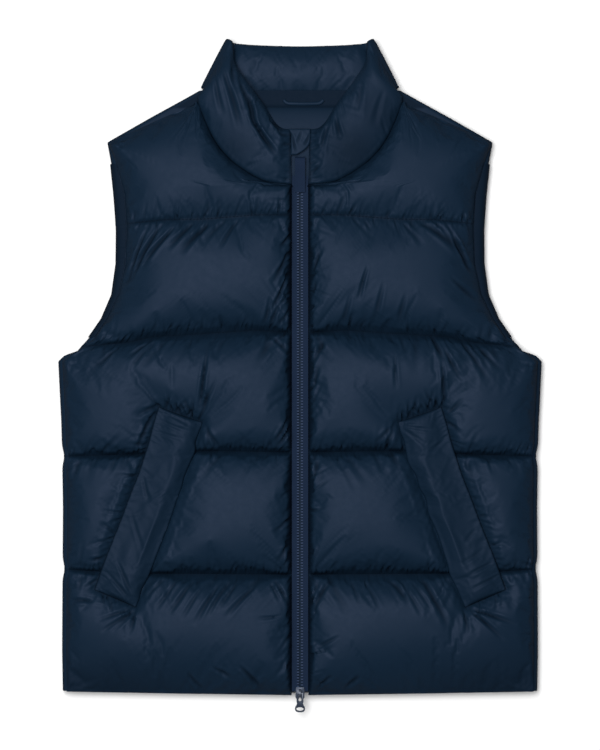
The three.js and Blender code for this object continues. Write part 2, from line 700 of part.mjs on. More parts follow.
// A welt lies on the front's outer face: its underside is the highest of the front's points near
// it along the welt, moved out, so that it bridges the quilt lines
function weltBase(rings, length, across) {
  let highest = 0;
  for (let stepL = -2; stepL <= 2; stepL += 1) {
    for (let stepA = -1; stepA <= 1; stepA += 1) {
      const point = weltPoint(length + stepL * WELT_SPAN.length, across + stepA * WELT_SPAN.across);
      highest = Math.max(highest, faceHeight(rings, point.x, point.y));
    }
  }
  return highest + WELT_CLEAR;
}

function weltRings(front) {
  const rings = [];
  for (let r = 0; r <= WELT_ROWS; r += 1) {
    const length = (1 - Math.cos((Math.PI * r) / WELT_ROWS)) / 2;
    const upper = [];
    const lower = [];
    for (let c = 0; c <= WELT_COLUMNS; c += 1) {
      const across = (1 - Math.cos((Math.PI * c) / WELT_COLUMNS)) / 2;
      const point = weltPoint(length, across);
      const base = weltBase(front, length, across);
      const roundAcross = arch(Math.min(across, 1 - across) * WELT_ROUND.across);
      const roundLength = arch(Math.min(length, 1 - length) * WELT_ROUND.length);
      const thickness = mix(WELT_EDGE, WELT_THICKNESS, roundAcross * roundLength);
      upper.push({ ...point, z: base + thickness });
      lower.push({ ...point, z: base });
    }
    rings.push([...upper, ...lower.reverse()]);
  }
  return rings;
}

function block(x0, x1, y0, y1, z0, z1) {
  const geometry = new THREE.BoxGeometry(x1 - x0, y1 - y0, z1 - z0);
  geometry.translate((x0 + x1) / 2, (y0 + y1) / 2, (z0 + z1) / 2);
  return geometry;
}

// An upright outline in Y and Z, carried across the centre line
function sideProfile(shape, halfWidth) {
  const geometry = new THREE.ExtrudeGeometry(shape, {
    depth: 2 * halfWidth,
    bevelEnabled: false,
    curveSegments: CURVE_STEPS.profile,
  });
  // The shape's own x and y become Y and Z, and its depth becomes X
  const turn = new THREE.Matrix4().set(0, 0, 1, -halfWidth, 1, 0, 0, 0, 0, 1, 0, 0, 0, 0, 0, 1);
  geometry.applyMatrix4(turn);
  return geometry;
}

const PLATE_TOP = CHAIN_TOP + SEAM_GAP + SLIDER.plate;

// A slider's plate with its two flanges beside the chain and the arched bridge on top.
// `lobeEnd` is -1 where the two rounded lobes point to the hem, and 1 where they point up.
function sliderGeometry(centreY, lobeEnd) {
  const wide = SLIDER.halfWidth;
  const lobeTip = (lobeEnd * SLIDER.length) / 2;
  const lobeSide = lobeEnd * SLIDER_LOBE.at;
  const lobeCorner = wide - SLIDER_LOBE.corner;
  const notch = { half: SLIDER_LOBE.notchHalf, y: lobeTip - lobeEnd * SLIDER_LOBE.notch };
  const narrow = wide - SLIDER_NARROW.inset;
  const narrowCorner = wide - SLIDER_NARROW.corner;
  const narrowSide = -lobeEnd * SLIDER_NARROW.at;
  const outline = new THREE.Shape();
  outline.moveTo(-narrowCorner, -lobeTip);
  outline.lineTo(narrowCorner, -lobeTip);
  outline.quadraticCurveTo(narrow, -lobeTip, narrow, narrowSide);
  outline.lineTo(wide, lobeSide);
  outline.quadraticCurveTo(wide, lobeTip, lobeCorner, lobeTip);
  outline.quadraticCurveTo(notch.half, lobeTip, 0, notch.y);
  outline.quadraticCurveTo(-notch.half, lobeTip, -lobeCorner, lobeTip);
  outline.quadraticCurveTo(-wide, lobeTip, -wide, lobeSide);
  outline.lineTo(-narrow, narrowSide);
  outline.quadraticCurveTo(-narrow, -lobeTip, -narrowCorner, -lobeTip);
  const plate = new THREE.ExtrudeGeometry(outline, {
    depth: SLIDER.plate,
    bevelEnabled: false,
    curveSegments: CURVE_STEPS.slider,
  });
  plate.translate(0, centreY, CHAIN_TOP + SEAM_GAP);
  const flangeZ = [CHAIN_TOP + SEAM_GAP - FLANGE.depth, PLATE_TOP - FLANGE.below];
  const flangeX = [CHAIN_HALF + SEAM_GAP, SLIDER.halfWidth - FLANGE.inset];
  const flange = (side) => {
    const x = flangeX.map((value) => side * value).sort((a, b) => a - b);
    return block(...x, centreY + FLANGE.low, centreY + FLANGE.high, ...flangeZ);
  };
  const { half, leg, root, inner, corner } = BRIDGE;
  const crown = BRIDGE.outer * BRIDGE_SWELL;
  const arc = new THREE.Shape();
  arc.moveTo(-half, -root);
  arc.bezierCurveTo(-half, crown, half, crown, half, -root);
  arc.lineTo(leg, -root);
  arc.lineTo(leg, inner - corner);
  arc.quadraticCurveTo(leg, inner, leg - corner, inner);
  arc.lineTo(-leg + corner, inner);
  arc.quadraticCurveTo(-leg, inner, -leg, inner - corner);
  arc.lineTo(-leg, -root);
  arc.lineTo(-half, -root);
  const bridge = sideProfile(arc, BRIDGE.halfWidth);
  bridge.translate(0, centreY, PLATE_TOP);
  return joined([plate, flange(1), flange(-1), bridge]);
}

// The cloth ribbon that is folded over the upper slider's bridge and hangs down over the chain
function ribbonGeometry() {
  const { thickness, bend } = RIBBON;
  const start = BRIDGE.half + SEAM_GAP;
  const over = BRIDGE.outer + RIBBON.clear;
  const low = RIBBON.tail - PLATE_TOP;
  const knee = low + RIBBON_KNEE.lift;
  const end = start + thickness - RIBBON.length;
  const shape = new THREE.Shape();
  shape.moveTo(start, SEAM_GAP);
  shape.lineTo(start, over - bend);
  shape.quadraticCurveTo(start, over, start - bend, over);
  shape.lineTo(-BRIDGE.half, over);
  shape.lineTo(RIBBON_KNEE.y, knee);
  shape.lineTo(end, low);
  shape.lineTo(end, low + thickness);
  shape.lineTo(RIBBON_KNEE.y, knee + thickness);
  shape.lineTo(-BRIDGE.half, over + thickness);
  shape.lineTo(start - bend, over + thickness);
  shape.quadraticCurveTo(start + thickness, over + thickness, start + thickness, over - bend);
  shape.lineTo(start + thickness, SEAM_GAP);
  shape.lineTo(start, SEAM_GAP);
  const geometry = sideProfile(shape, RIBBON.halfWidth);
  geometry.translate(0, SLIDER_Y.top, PLATE_TOP);
  return geometry;
}

const TAB_TILT = THREE.MathUtils.degToRad(TAB.tilt);
const TAB_LENGTH = TAB_OUTLINE[TAB_OUTLINE.length - 1].along;
const TAB_PIVOT = {
  y: -TAB_REACH + TAB_LENGTH * Math.cos(TAB_TILT) + (TAB.thickness / 2) * Math.sin(TAB_TILT),
  z: PLATE_TOP + TAB_PIVOT_LIFT,
};

// The lower slider's pull tab: a bar in the bridge, a window, a waist and a ring at its end
function tabGeometry() {
  const outline = new THREE.Shape();
  const side = TAB_OUTLINE.map((row) => new THREE.Vector2(-row.half, -row.along));
  const other = [...side].reverse().map((point) => new THREE.Vector2(-point.x, point.y));
  outline.setFromPoints([...side, ...other]);
  const window = new THREE.Path();
  const half = TAB.windowHalf;
  const far = -TAB.windowLength;
  window.moveTo(-half, -TAB.windowTop);
  window.lineTo(half, -TAB.windowTop);
  window.lineTo(half, far + half);
  window.absarc(0, far + half, half, 0, -Math.PI, true);
  window.lineTo(-half, -TAB.windowTop);
  const ring = new THREE.Path();
  ring.absellipse(0, -TAB_RING.along, TAB_RING.halfWidth, TAB_RING.halfLength, 0, 2 * Math.PI);
  outline.holes.push(window, ring);
  const geometry = new THREE.ExtrudeGeometry(outline, {
    depth: TAB.thickness,
    bevelEnabled: false,
    curveSegments: CURVE_STEPS.ring,
  });
  geometry.translate(0, 0, -TAB.thickness / 2);
  return geometry;
}

function garageGeometry() {
  const { left, right, top, bottom } = GARAGE_CORNER;
  const { inset, start, bend, bendInset, foot, end } = GARAGE_SWEEP;
  const round = GARAGE_ROUND;
  const stepped = left + GARAGE_STEP.inset;
  const outline = new THREE.Shape();
  outline.moveTo(left + round.top, top);
  outline.lineTo(right - round.top, top);
  outline.quadraticCurveTo(right, top, right, top - round.right);
  outline.lineTo(right - inset, top - start);
  outline.bezierCurveTo(right - bendInset, top - bend, foot, bottom, end, bottom);
  outline.lineTo(stepped, bottom + GARAGE_STEP.foot);
  outline.lineTo(stepped, top - GARAGE_STEP.below);
  outline.quadraticCurveTo(left, top - round.left, left, top - round.top);
  outline.lineTo(left + round.top, top);
  const geometry = new THREE.ExtrudeGeometry(outline, {
    depth: GARAGE_THICKNESS,
    bevelEnabled: false,
    curveSegments: CURVE_STEPS.slider,
  });
  geometry.translate(0, 0, GARAGE_BOTTOM);
  return geometry;
}

function hangerGeometry() {
  const { centre, half, top, sag, width, thickness } = LOOP;
  const z = BACK_LOFT + SEAM_GAP + thickness / 2;
  const end = half - LOOP_END.length;
  const endY = top - sag * LOOP_END.sag;
  const places = [
    [-half, top],
    [-end, endY],
    [-half / 3, top - sag],
    [half / 3, top - sag],
    [end, endY],
    [half, top],
  ];
  const points = places.map(([x, y]) => new THREE.Vector3(centre + x, y, z));
  const section = new THREE.Shape();
  section.absellipse(0, 0, thickness / 2, width / 2, 0, 2 * Math.PI);
  return new THREE.ExtrudeGeometry(section, {
    extrudePath: new THREE.CatmullRomCurve3(points),
    steps: LOOP_STEPS,
    curveSegments: CURVE_STEPS.slider,
  });
}

const acrossXZ = (point) => [point.x, point.z];
const acrossYZ = (point) => [point.y, point.z];

addPiece('back_panel', loftRings(backRings(), acrossXZ, 2), NYLON);

const frontRows = frontRings();
const front = loftRings(frontRows, acrossXZ);
addPiece('front_panel_right', front, NYLON);
addPiece('front_panel_left', mirrored(front), NYLON);

addPiece('collar', loftRings(collarRings(), acrossYZ), NYLON);

const facing = loftRings(facingRings(), acrossXZ);
addPiece('armhole_facing_right', facing, NYLON);
addPiece('armhole_facing_left', mirrored(facing), NYLON);

const welt = loftRings(weltRings(frontRows), acrossXZ);
addPiece('pocket_welt_right', welt, NYLON);
addPiece('pocket_welt_left', mirrored(welt), NYLON);

const tape = block(
  CHAIN_HALF + SEAM_GAP,
  ZIP_HALF_GAP - SEAM_GAP,
  TAPE_END.bottom,
  TAPE_END.top,
  TAPE_BOTTOM,
  TAPE_BOTTOM + TAPE_THICKNESS,
);
addPiece('zip_tape_right', tape, TAPE_CLOTH);
addPiece('zip_tape_left', mirrored(tape), TAPE_CLOTH);
const { top: chainTop, bottom: chainBottom } = CHAIN_END;
addPiece(
  'zip_chain',
  block(-CHAIN_HALF, CHAIN_HALF, chainBottom, chainTop, CHAIN_BOTTOM, CHAIN_TOP),
  TEETH,
);
addPiece('zip_garage', garageGeometry(), NYLON);
addPiece('slider_top', sliderGeometry(SLIDER_Y.top, 1), METAL);
addPiece('ribbon_pull', ribbonGeometry(), TAPE_CLOTH);
addPiece('slider_bottom', sliderGeometry(SLIDER_Y.bottom, -1), METAL);

const tab = addPiece('pull_tab', tabGeometry(), METAL);
tab.position.set(0, TAB_PIVOT.y, TAB_PIVOT.z);
tab.rotation.x = TAB_TILT;

addPiece('hanger_loop', hangerGeometry(), NYLON);

export default vest;
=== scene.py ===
"""Looks of a padded, quilted vest with a two-way zip, laid flat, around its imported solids."""
import logging
import math
from dataclasses import dataclass, field
from enum import Enum
from typing import Sequence

import bmesh
import bpy
import numpy as np
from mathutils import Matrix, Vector


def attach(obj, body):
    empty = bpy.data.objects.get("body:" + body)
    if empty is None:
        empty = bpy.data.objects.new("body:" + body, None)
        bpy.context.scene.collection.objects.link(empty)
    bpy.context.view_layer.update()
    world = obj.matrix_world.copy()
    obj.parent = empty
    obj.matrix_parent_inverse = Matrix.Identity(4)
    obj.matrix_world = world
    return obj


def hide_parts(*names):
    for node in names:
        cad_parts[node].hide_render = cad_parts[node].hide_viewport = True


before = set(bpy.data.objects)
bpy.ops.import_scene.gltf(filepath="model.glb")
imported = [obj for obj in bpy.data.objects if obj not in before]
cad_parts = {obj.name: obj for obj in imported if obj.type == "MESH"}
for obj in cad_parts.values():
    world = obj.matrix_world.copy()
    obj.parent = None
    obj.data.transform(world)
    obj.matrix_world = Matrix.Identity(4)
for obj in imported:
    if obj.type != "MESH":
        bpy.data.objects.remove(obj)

LOG = logging.getLogger("vest")
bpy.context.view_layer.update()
MM = 0.001  # the cut and the forms are worked out in millimetres, meshes are in metres
BODY = "vest"


class Side(Enum):
    """The half of the vest, as the sign of X on it."""

    RIGHT = 1
    LEFT = -1


def arch(share: np.ndarray) -> np.ndarray:
    """A quarter of an ellipse, 0 at an edge and 1 from a full width in."""
    rest = 1 - np.clip(share, 0, 1)
    return np.sqrt(1 - rest * rest)


def shoulder(share: np.ndarray, power: float) -> np.ndarray:
    """A rise from 0 to 1, more sudden than the arch for a power over 2."""
    rest = 1 - np.clip(share, 0, 1)
    return (1 - rest**power) ** (1 / power)


def bell(share: np.ndarray) -> np.ndarray:
    """A soft bump of height 1 and half width 1."""
    return np.exp(-share * share)


def ease(share: np.ndarray) -> np.ndarray:
    """A slope that starts even at 0 and ends level at 1."""
    return 1 - (1 - np.clip(share, 0, 1)) ** 2


def mix(a, b, share):
    """The value a share of the way from a to b."""
    return a + (b - a) * share


def chain_distance(chain: Sequence[tuple[float, float]], x: np.ndarray, y: np.ndarray) -> np.ndarray:
    """The distance from points to a chain of points.

    Args:
        chain: The chain's points.
        x: The points' first coordinate.
        y: The points' second coordinate.

    Returns:
        The distance of each point.
    """
    best = np.full(np.shape(x), np.inf)
    for (ax, ay), (bx, by) in zip(chain[:-1], chain[1:]):
        squared = (bx - ax) ** 2 + (by - ay) ** 2
        share = np.clip(((x - ax) * (bx - ax) + (y - ay) * (by - ay)) / squared, 0, 1)
        gap = np.hypot(x - ax - share * (bx - ax), y - ay - share * (by - ay))
        best = np.minimum(best, gap)
    return best


class Ruffle:
    """Uneven waves along a seam, the same on every run."""

    def __init__(self, seed: int, spacing: float) -> None:
        """Draws the waves.

        Args:
            seed: The seed of the draw.
            spacing: Half a wave's mean length, in millimetres.
        """
        self.spacing = spacing
        self.values = np.random.default_rng(seed).normal(0, 1, 512)

    def __call__(self, along: np.ndarray) -> np.ndarray:
        """The wave's height at places along the seam, smooth between the drawn ones."""
        place = np.mod(along / self.spacing, len(self.values) - 1)
        low = np.floor(place).astype(int)
        share = place - low
        share = share * share * (3 - 2 * share)
        return mix(self.values[low], self.values[low + 1], share)


@dataclass(frozen=True)
class Crease:
    """A fold: its start, its end, its half width, depth and deepest place along it."""

    x: float
    y: float
    end_x: float
    end_y: float
    half: float
    depth: float
    peak: float = 0.5
    wander: float = 0.45  # how far it bends off its straight run, in half widths
    ridge: float = 0.38  # height of the ridges along its sides, as a share of its depth

    def carve(self, depth: np.ndarray, x: np.ndarray, y: np.ndarray) -> None:
        """Adds the fold to a map of depths, with a low ridge along both of its sides.

        Args:
            depth: The depths so far, changed in place.
            x: The points' distance from the centre line.
            y: Their height on the vest.
        """
        length = math.hypot(self.end_x - self.x, self.end_y - self.y)
        dx, dy = (self.end_x - self.x) / length, (self.end_y - self.y) / length
        reach = 4.5 * self.half
        near = (x > min(self.x, self.end_x) - reach) & (x < max(self.x, self.end_x) + reach)
        near &= (y > min(self.y, self.end_y) - reach) & (y < max(self.y, self.end_y) + reach)
        if not near.any():
            return
        away_x, away_y = x[near] - self.x, y[near] - self.y
        forward = np.clip((away_x * dx + away_y * dy) / length, 0, 1)
        bend = self.half * self.wander * np.sin(forward * 3.4 + self.x)
        half = self.half * (0.7 + 0.6 * forward)
        aside = (away_x * dy - away_y * dx + bend) / half
        run = np.sin(np.pi * forward ** (math.log(0.5) / math.log(self.peak)))
        section = bell(aside) - self.ridge * bell((np.abs(aside) - 1.9) / 0.8)
        depth[near] += self.depth * run * section


@dataclass(frozen=True)
class Gathers:
    """Small folds that run away from one side of a stitched seam, drawn with a seed."""

    seam: Sequence[tuple[float, float]]
    side: float  # 1 for the left of the seam's run and -1 for the right
    spacing: float
    lean: float
    length: tuple[float, float]
    half: tuple[float, float]
    depth: tuple[float, float]
    seed: int
    scatter: float = 0.24  # how unevenly they lean

    def carve(self, depth: np.ndarray, x: np.ndarray, y: np.ndarray) -> None:
        """Adds the small folds to a map of depths.

        Args:
            depth: The depths so far, changed in place.
            x: The points' distance from the centre line.
            y: Their height on the vest.
        """
        draw = np.random.default_rng(self.seed)
        chain = np.array(self.seam, float)
        steps = np.diff(chain, axis=0)
        along = np.concatenate([[0], np.cumsum(np.hypot(steps[:, 0], steps[:, 1]))])
        place = draw.uniform(0, self.spacing)
        while place < along[-1]:
            step = steps[np.searchsorted(along, place) - 1]
            run = step / np.hypot(*step)
            slope = self.lean + draw.normal(0, self.scatter)
            share = draw.uniform(0, 1) ** 2
            way = np.array([-run[1] * self.side, run[0] * self.side]) + run * slope
            way *= mix(*self.length, share) / np.hypot(*way)
            begin = [float(np.interp(place, along, chain[:, axis])) for axis in (0, 1)]
            half = mix(*self.half, draw.uniform(0, 1))
            deep = mix(*self.depth, draw.uniform(0, 1) * (0.5 + 0.5 * share))
            Crease(*begin, begin[0] + way[0], begin[1] + way[1], half, deep, 0.18).carve(depth, x, y)
            place += self.spacing * draw.uniform(0.35, 1.75)


@dataclass(frozen=True)
class Cut:
    """The vest's cut on one half: outline, quilt lines, neck seam and welt, in millimetres."""

    outline: tuple[tuple[float, float, float], ...] = (
        # height, half width of the back, half width of the front
        (-380, 277, 271),
        (-320, 278, 272),
        (-226, 277.5, 271.5),
        (-155, 277, 271),
        (-92, 278, 272),
        (-55, 279, 273),
        (-25, 280.5, 274.5),
        (16, 282.5, 276.5),
        (23, 275, 268),
        (28, 260, 259),
        (42, 247.5, 240),
        (66, 231, 224),
        (94, 219, 210.5),
        (130, 214, 203),
        (172, 213.5, 201.5),
        (210, 216.5, 204),
        (244, 220, 213),
        (268, 224.5, 222),
        (271.6, 225, 219),
        (276, 217.5, 211),
        (300.5, 174.5, 156),
        (313.4, 151, 124.5),
        (318, 142.6, 121),
        (333.2, 115.4, 120),
    )
    lines: tuple[tuple[tuple[float, ...], tuple[float, ...]], ...] = (
        # x of the points, then their heights: neck, four quilt lines, hem
        ((0, 115), (322.7, 331.5)),
        ((10, 51, 113, 155, 200), (185.4, 185.4, 180.4, 180, 175.8)),
        ((10, 53, 113, 170, 203, 243), (49.1, 52, 47.9, 44.4, 37.5, 34)),
        ((12, 75, 123, 179, 275), (-89.9, -88.7, -88.7, -92, -94.5)),
        ((12, 174, 232, 275), (-232, -231, -228.6, -226)),
        ((0, 25, 140, 277), (-372.7, -372.2, -370.6, -368.2)),
    )
    neck: tuple[tuple[float, float], ...] = (
        (9.8, 221.7),
        (24, 222),
        (40, 225),
        (57, 233),
        (79, 248.3),
        (92, 262),
        (102, 277),
        (112, 299),
        (118.8, 317.6),
    )
    welt_side: tuple[tuple[float, float], ...] = (
        (163.8, -37.5),
        (170, -58),
        (175, -78),
        (186.2, -113),
        (198.2, -143),
        (209.2, -173),
        (224.5, -211),
        (231.5, -230),
        (238, -248.5),
    )
    welt_front: tuple[tuple[float, float], ...] = (
        (113.9, -54.7),
        (119.5, -73),
        (123.8, -92),
        (133.5, -118),
        (142.5, -140),
        (151.5, -167),
        (170, -216),
        (180, -243),
        (191.3, -268.8),
    )
    seam_gap: float = 0.35
    zip_half_gap: float = 9.8
    line_depths: tuple[float, ...] = (0.3, 0.9, 0.95, 1.0)
    baffle_top: float = 62
    baffle_foot: float = 26
    scallop_depth: float = 2.6
    scallop_half: float = 9

    def line_height(self, line: int, x: np.ndarray) -> np.ndarray:
        """The height of a numbered line at x."""
        return np.interp(x, *self.lines[line])

    def row_height(self, level: np.ndarray, x: np.ndarray) -> np.ndarray:
        """The height at x of the row at a level, which is 0 at the neck and 5 at the hem."""
        level, x = np.broadcast_arrays(np.asarray(level, float), np.asarray(x, float))
        heights = np.stack([self.line_height(i, x) for i in range(len(self.lines))])
        low = np.clip(np.floor(level).astype(int), 0, len(self.lines) - 2)
        upper = np.take_along_axis(heights, low[None], 0)[0]
        lower = np.take_along_axis(heights, low[None] + 1, 0)[0]
        return mix(upper, lower, level - low)

    def level_through(self, x: float, y: float) -> float:
        """The level of the row that runs through a point."""
        low, high = 0.0, len(self.lines) - 1.0
        for _ in range(50):
            middle = (low + high) / 2
            if self.row_height(middle, x) > y:
                low = middle
            else:
                high = middle
        return (low + high) / 2

    def quilt_distance(self, x: np.ndarray, y: np.ndarray) -> np.ndarray:
        """The distance to the nearest quilt line."""
        return np.min([np.abs(y - self.line_height(i, x)) for i in range(1, 5)], 0)

    def baffle(self, x: np.ndarray, y: np.ndarray) -> np.ndarray:
        """How full a baffle is: it slopes gently from the line above and steeply to the line below."""
        full = np.ones(np.shape(y))
        for line, depth in enumerate(self.line_depths, 1):
            away = y - self.line_height(line, x)
            under, over = shoulder(-away / self.baffle_top, 3), shoulder(away / self.baffle_foot, 2.2)
            full = full * (1 - depth * (1 - np.where(away < 0, under, over)))
        return full

    def row_end(self, levels: np.ndarray, column: int) -> np.ndarray:
        """Where rows meet the outline.

        Args:
            levels: The rows' levels.
            column: 1 for the back's outline and 2 for the front's.

        Returns:
            The half width of each row.
        """
        heights, edge = [row[0] for row in self.outline], [row[column] for row in self.outline]
        x = np.full(len(levels), 200.0)
        for _ in range(80):
            x = mix(x, np.interp(self.row_height(levels, x), heights, edge), 0.4)
        y = self.row_height(levels, x)
        notch = self.scallop_depth * bell(self.quilt_distance(x, y) / self.scallop_half)
        return x - np.where(y < 0, notch, 0)

    def row_start(self, levels: np.ndarray) -> np.ndarray:
        """Where rows of a front meet the neck seam or, below it, the zip edge."""
        seam = np.array(self.neck) + (self.seam_gap, -self.seam_gap)
        low, high = np.full(len(levels), seam[0, 0]), np.full(len(levels), seam[-1, 0])
        for _ in range(50):
            middle = (low + high) / 2
            above = np.interp(middle, seam[:, 0], seam[:, 1]) < self.row_height(levels, middle)
            low, high = np.where(above, middle, low), np.where(above, high, middle)
        below = self.row_height(levels, np.full(len(levels), seam[0, 0])) <= seam[0, 1]
        return np.where(below, self.zip_half_gap, (low + high) / 2)

    def front_edge(self) -> list[tuple[float, float]]:
        """A front's whole outline as a closed chain."""
        side = [(row[2], row[0]) for row in reversed(self.outline) if -370 < row[0] < 318]
        zip_end = (self.zip_half_gap, self.lines[5][1][0])
        return [zip_end, *self.neck, *side, (271, -368.2), zip_end]

    def levels(self, first: float, step: float) -> np.ndarray:
        """Levels of evenly spaced rows that also run along each quilt line.

        Args:
            first: The first row's level, above the first quilt line.
            step: The rows' spacing, in millimetres.

        Returns:
            The levels, from first to the hem.
        """
        ends = [first, 1, 2, 3, 4, 5]
        rows: list[float] = []
        for a, b in zip(ends[:-1], ends[1:]):
            height = abs(float(self.row_height(a, 100) - self.row_height(b, 100)))
            count = max(2, round(height / step))
            rows.extend(mix(a, b, i / count) for i in range(count))
        return np.array([*rows, 5.0])

    def under_welt(self, x: np.ndarray, y: np.ndarray) -> np.ndarray:
        """Whether points lie under the welt."""
        ring = [*self.welt_side, *reversed(self.welt_front)]
        inside = np.zeros(np.shape(x), bool)
        for (ax, ay), (bx, by) in zip(ring, ring[1:] + ring[:1]):
            if ay == by:
                continue
            crosses = (ay > y) != (by > y)
            inside ^= crosses & (x < ax + (y - ay) * (bx - ax) / (by - ay))
        return inside

    def welt_stitching(self) -> list[tuple[float, float]]:
        """The welt's stitched edges, which are both ends and the side edge."""
        return [self.welt_front[0], *self.welt_side, self.welt_front[-1]]


@dataclass
class ClothRun:
    """A run of Blender's cloth simulation that puffs padded cloth between its stitched points."""

    grow: float = 0.06  # how much larger the cloth is cut than the shape it starts from
    pressure: float = 8.0
    bending: float = 0.02
    frames: int = 25
    quality: int = 4
    mass: float = 0.15
    stiffness: float = 12
    damping: float = 8

    def puff(self, grid: np.ndarray, pins: np.ndarray, around: bool = False) -> np.ndarray:
        """Puffs a grid of cloth.

        Args:
            grid: The points, rows by columns by three, in millimetres.
            pins: Which of them the stitching holds.
            around: Whether the columns close on themselves.

        Returns:
            The points where the cloth comes to.
        """
        piece = grid_object("cloth_run", grid, around)
        group = piece.vertex_groups.new(name="stitched")
        group.add(np.nonzero(pins.ravel())[0].tolist(), 1.0, "REPLACE")
        cloth = piece.modifiers.new("Cloth", "CLOTH")
        held = cloth.settings
        held.quality, held.mass = self.quality, self.mass
        held.tension_stiffness = held.compression_stiffness = self.stiffness
        held.shear_stiffness = self.stiffness / 3
        held.bending_stiffness = self.bending
        held.tension_damping = held.compression_damping = held.shear_damping = self.damping
        held.bending_damping = 0.3
        held.air_damping = 3
        held.vertex_group_mass = group.name
        held.shrink_min = held.shrink_max = -self.grow
        held.use_pressure = True
        held.uniform_pressure_force = self.pressure
        held.effector_weights.gravity = 0
        cloth.collision_settings.use_collision = False
        cloth.point_cache.frame_start, cloth.point_cache.frame_end = 1, self.frames
        for number in range(1, self.frames + 1):
            bpy.context.scene.frame_set(number)
        posed = piece.evaluated_get(bpy.context.evaluated_depsgraph_get())
        found = np.empty(grid.size, np.float32)
        posed.data.vertices.foreach_get("co", found)
        found = found.astype(float).reshape(grid.shape) / MM
        mesh = piece.data
        bpy.data.objects.remove(piece)
        bpy.data.meshes.remove(mesh)
        bpy.context.scene.frame_set(1)
        return found


def grid_faces(rows: int, columns: int, around: bool = False) -> np.ndarray:
    """The quads of a grid, in rows, facing up where X grows along a row and Y falls down it."""
    number = np.arange(rows * columns).reshape(rows, columns)
    if around:
        number = np.concatenate([number, number[:, :1]], 1)
    a, b, c, d = number[:-1, :-1], number[:-1, 1:], number[1:, 1:], number[1:, :-1]
    return np.stack([a, d, c, b], -1).reshape(-1, 4)


def make_object(name: str, points: np.ndarray, faces: Sequence, smooth: bool = True) -> bpy.types.Object:
    """Makes an object at the origin from points in millimetres.

    Args:
        name: The object's name.
        points: The points, in any grid shape.
        faces: The faces, as lists of point numbers.
        smooth: Whether its faces are shaded smooth.

    Returns:
        The object.
    """
    mesh = bpy.data.meshes.new(name)
    flat = (np.asarray(points, float).reshape(-1, 3) * MM).astype(np.float32)
    sizes = np.array([len(face) for face in faces], np.int32)
    corners = np.concatenate([np.asarray(face, np.int32) for face in faces])
    mesh.vertices.add(len(flat))
    mesh.vertices.foreach_set("co", flat.ravel())
    mesh.loops.add(len(corners))
    mesh.loops.foreach_set("vertex_index", corners)
    mesh.polygons.add(len(sizes))
    mesh.polygons.foreach_set("loop_start", np.concatenate([[0], np.cumsum(sizes)[:-1]]).astype(np.int32))
    mesh.polygons.foreach_set("loop_total", sizes)
    mesh.update(calc_edges=True)
    mesh.polygons.foreach_set("use_smooth", np.full(len(sizes), smooth))
    made = bpy.data.objects.new(name, mesh)
    bpy.context.scene.collection.objects.link(made)
    return made


def grid_object(name: str, grid: np.ndarray, around: bool = False) -> bpy.types.Object:
    """Makes an open sheet from a grid of points in millimetres."""
    return make_object(name, grid, list(grid_faces(grid.shape[0], grid.shape[1], around)))


def finer(grid: np.ndarray, around: bool = False) -> np.ndarray:
    """A grid with a point between each two, on a smooth curve through them.

    Args:
        grid: The points, rows by columns by anything.
        around: Whether the columns close on themselves.

    Returns:
        The finer grid.
    """

    def between(values: np.ndarray, closed: bool) -> np.ndarray:
        """Adds the points between along the first axis."""
        if closed:
            padded = np.concatenate([values[-1:], values, values[:2]])
        else:
            first, last = 2 * values[:1] - values[1:2], 2 * values[-1:] - values[-2:-1]
            padded = np.concatenate([first, values, last])
        middle = (9 * (padded[1:-2] + padded[2:-1]) - padded[:-3] - padded[3:]) / 16
        out = np.empty((len(values) + len(middle), *values.shape[1:]))
        out[0::2] = values
        out[1::2] = middle
        return out

    grid = between(grid, False)
    return np.swapaxes(between(np.swapaxes(grid, 0, 1), around), 0, 1)


def set_uv(piece: bpy.types.Object, uv: np.ndarray) -> None:
    """Gives a piece its cut's flat coordinates, in metres, as its UV map.

    Args:
        piece: The piece.
        uv: Each point's flat coordinates, in millimetres.
    """
    layer = piece.data.uv_layers.new(name="Cut")
    corners = np.empty(len(piece.data.loops), np.int32)
    piece.data.loops.foreach_get("vertex_index", corners)
    layer.data.foreach_set("uv", (uv.reshape(-1, 2)[corners] * MM).astype(np.float32).ravel())


def set_value(piece: bpy.types.Object, name: str, values: np.ndarray) -> None:
    """Gives each point of a piece a number that its finish reads."""
    layer = piece.data.attributes.new(name, "FLOAT", "POINT")
    layer.data.foreach_set("value", np.asarray(values, np.float32).ravel())


class Wire:
    """A shader socket in a graph that turns expressions into Math nodes."""

    def __init__(self, graph: "Graph", socket: bpy.types.NodeSocket) -> None:
        """Wraps a socket of a graph."""
        self.graph = graph
        self.socket = socket

    def _math(self, operation: str, *values: "Wire | float") -> "Wire":
        """A Math node on the values."""
        return self.graph.node("ShaderNodeMath", {"operation": operation}, dict(enumerate(values)))

    def __add__(self, other: "Wire | float") -> "Wire":
        """The sum."""
        return self._math("ADD", self, other)

    __radd__ = __add__

    def __sub__(self, other: "Wire | float") -> "Wire":
        """The difference."""
        return self._math("SUBTRACT", self, other)

    def __rsub__(self, other: "Wire | float") -> "Wire":
        """The difference from a number."""
        return self._math("SUBTRACT", other, self)

    def __mul__(self, other: "Wire | float") -> "Wire":
        """The product."""
        return self._math("MULTIPLY", self, other)

    __rmul__ = __mul__

    def __pow__(self, other: "Wire | float") -> "Wire":
        """The power."""
        return self._math("POWER", self, other)

    def sine(self) -> "Wire":
        """The sine."""
        return self._math("SINE", self)

    def held(self) -> "Wire":
        """The value between 0 and 1."""
        return self.graph.node("ShaderNodeClamp", {}, {"Value": self})


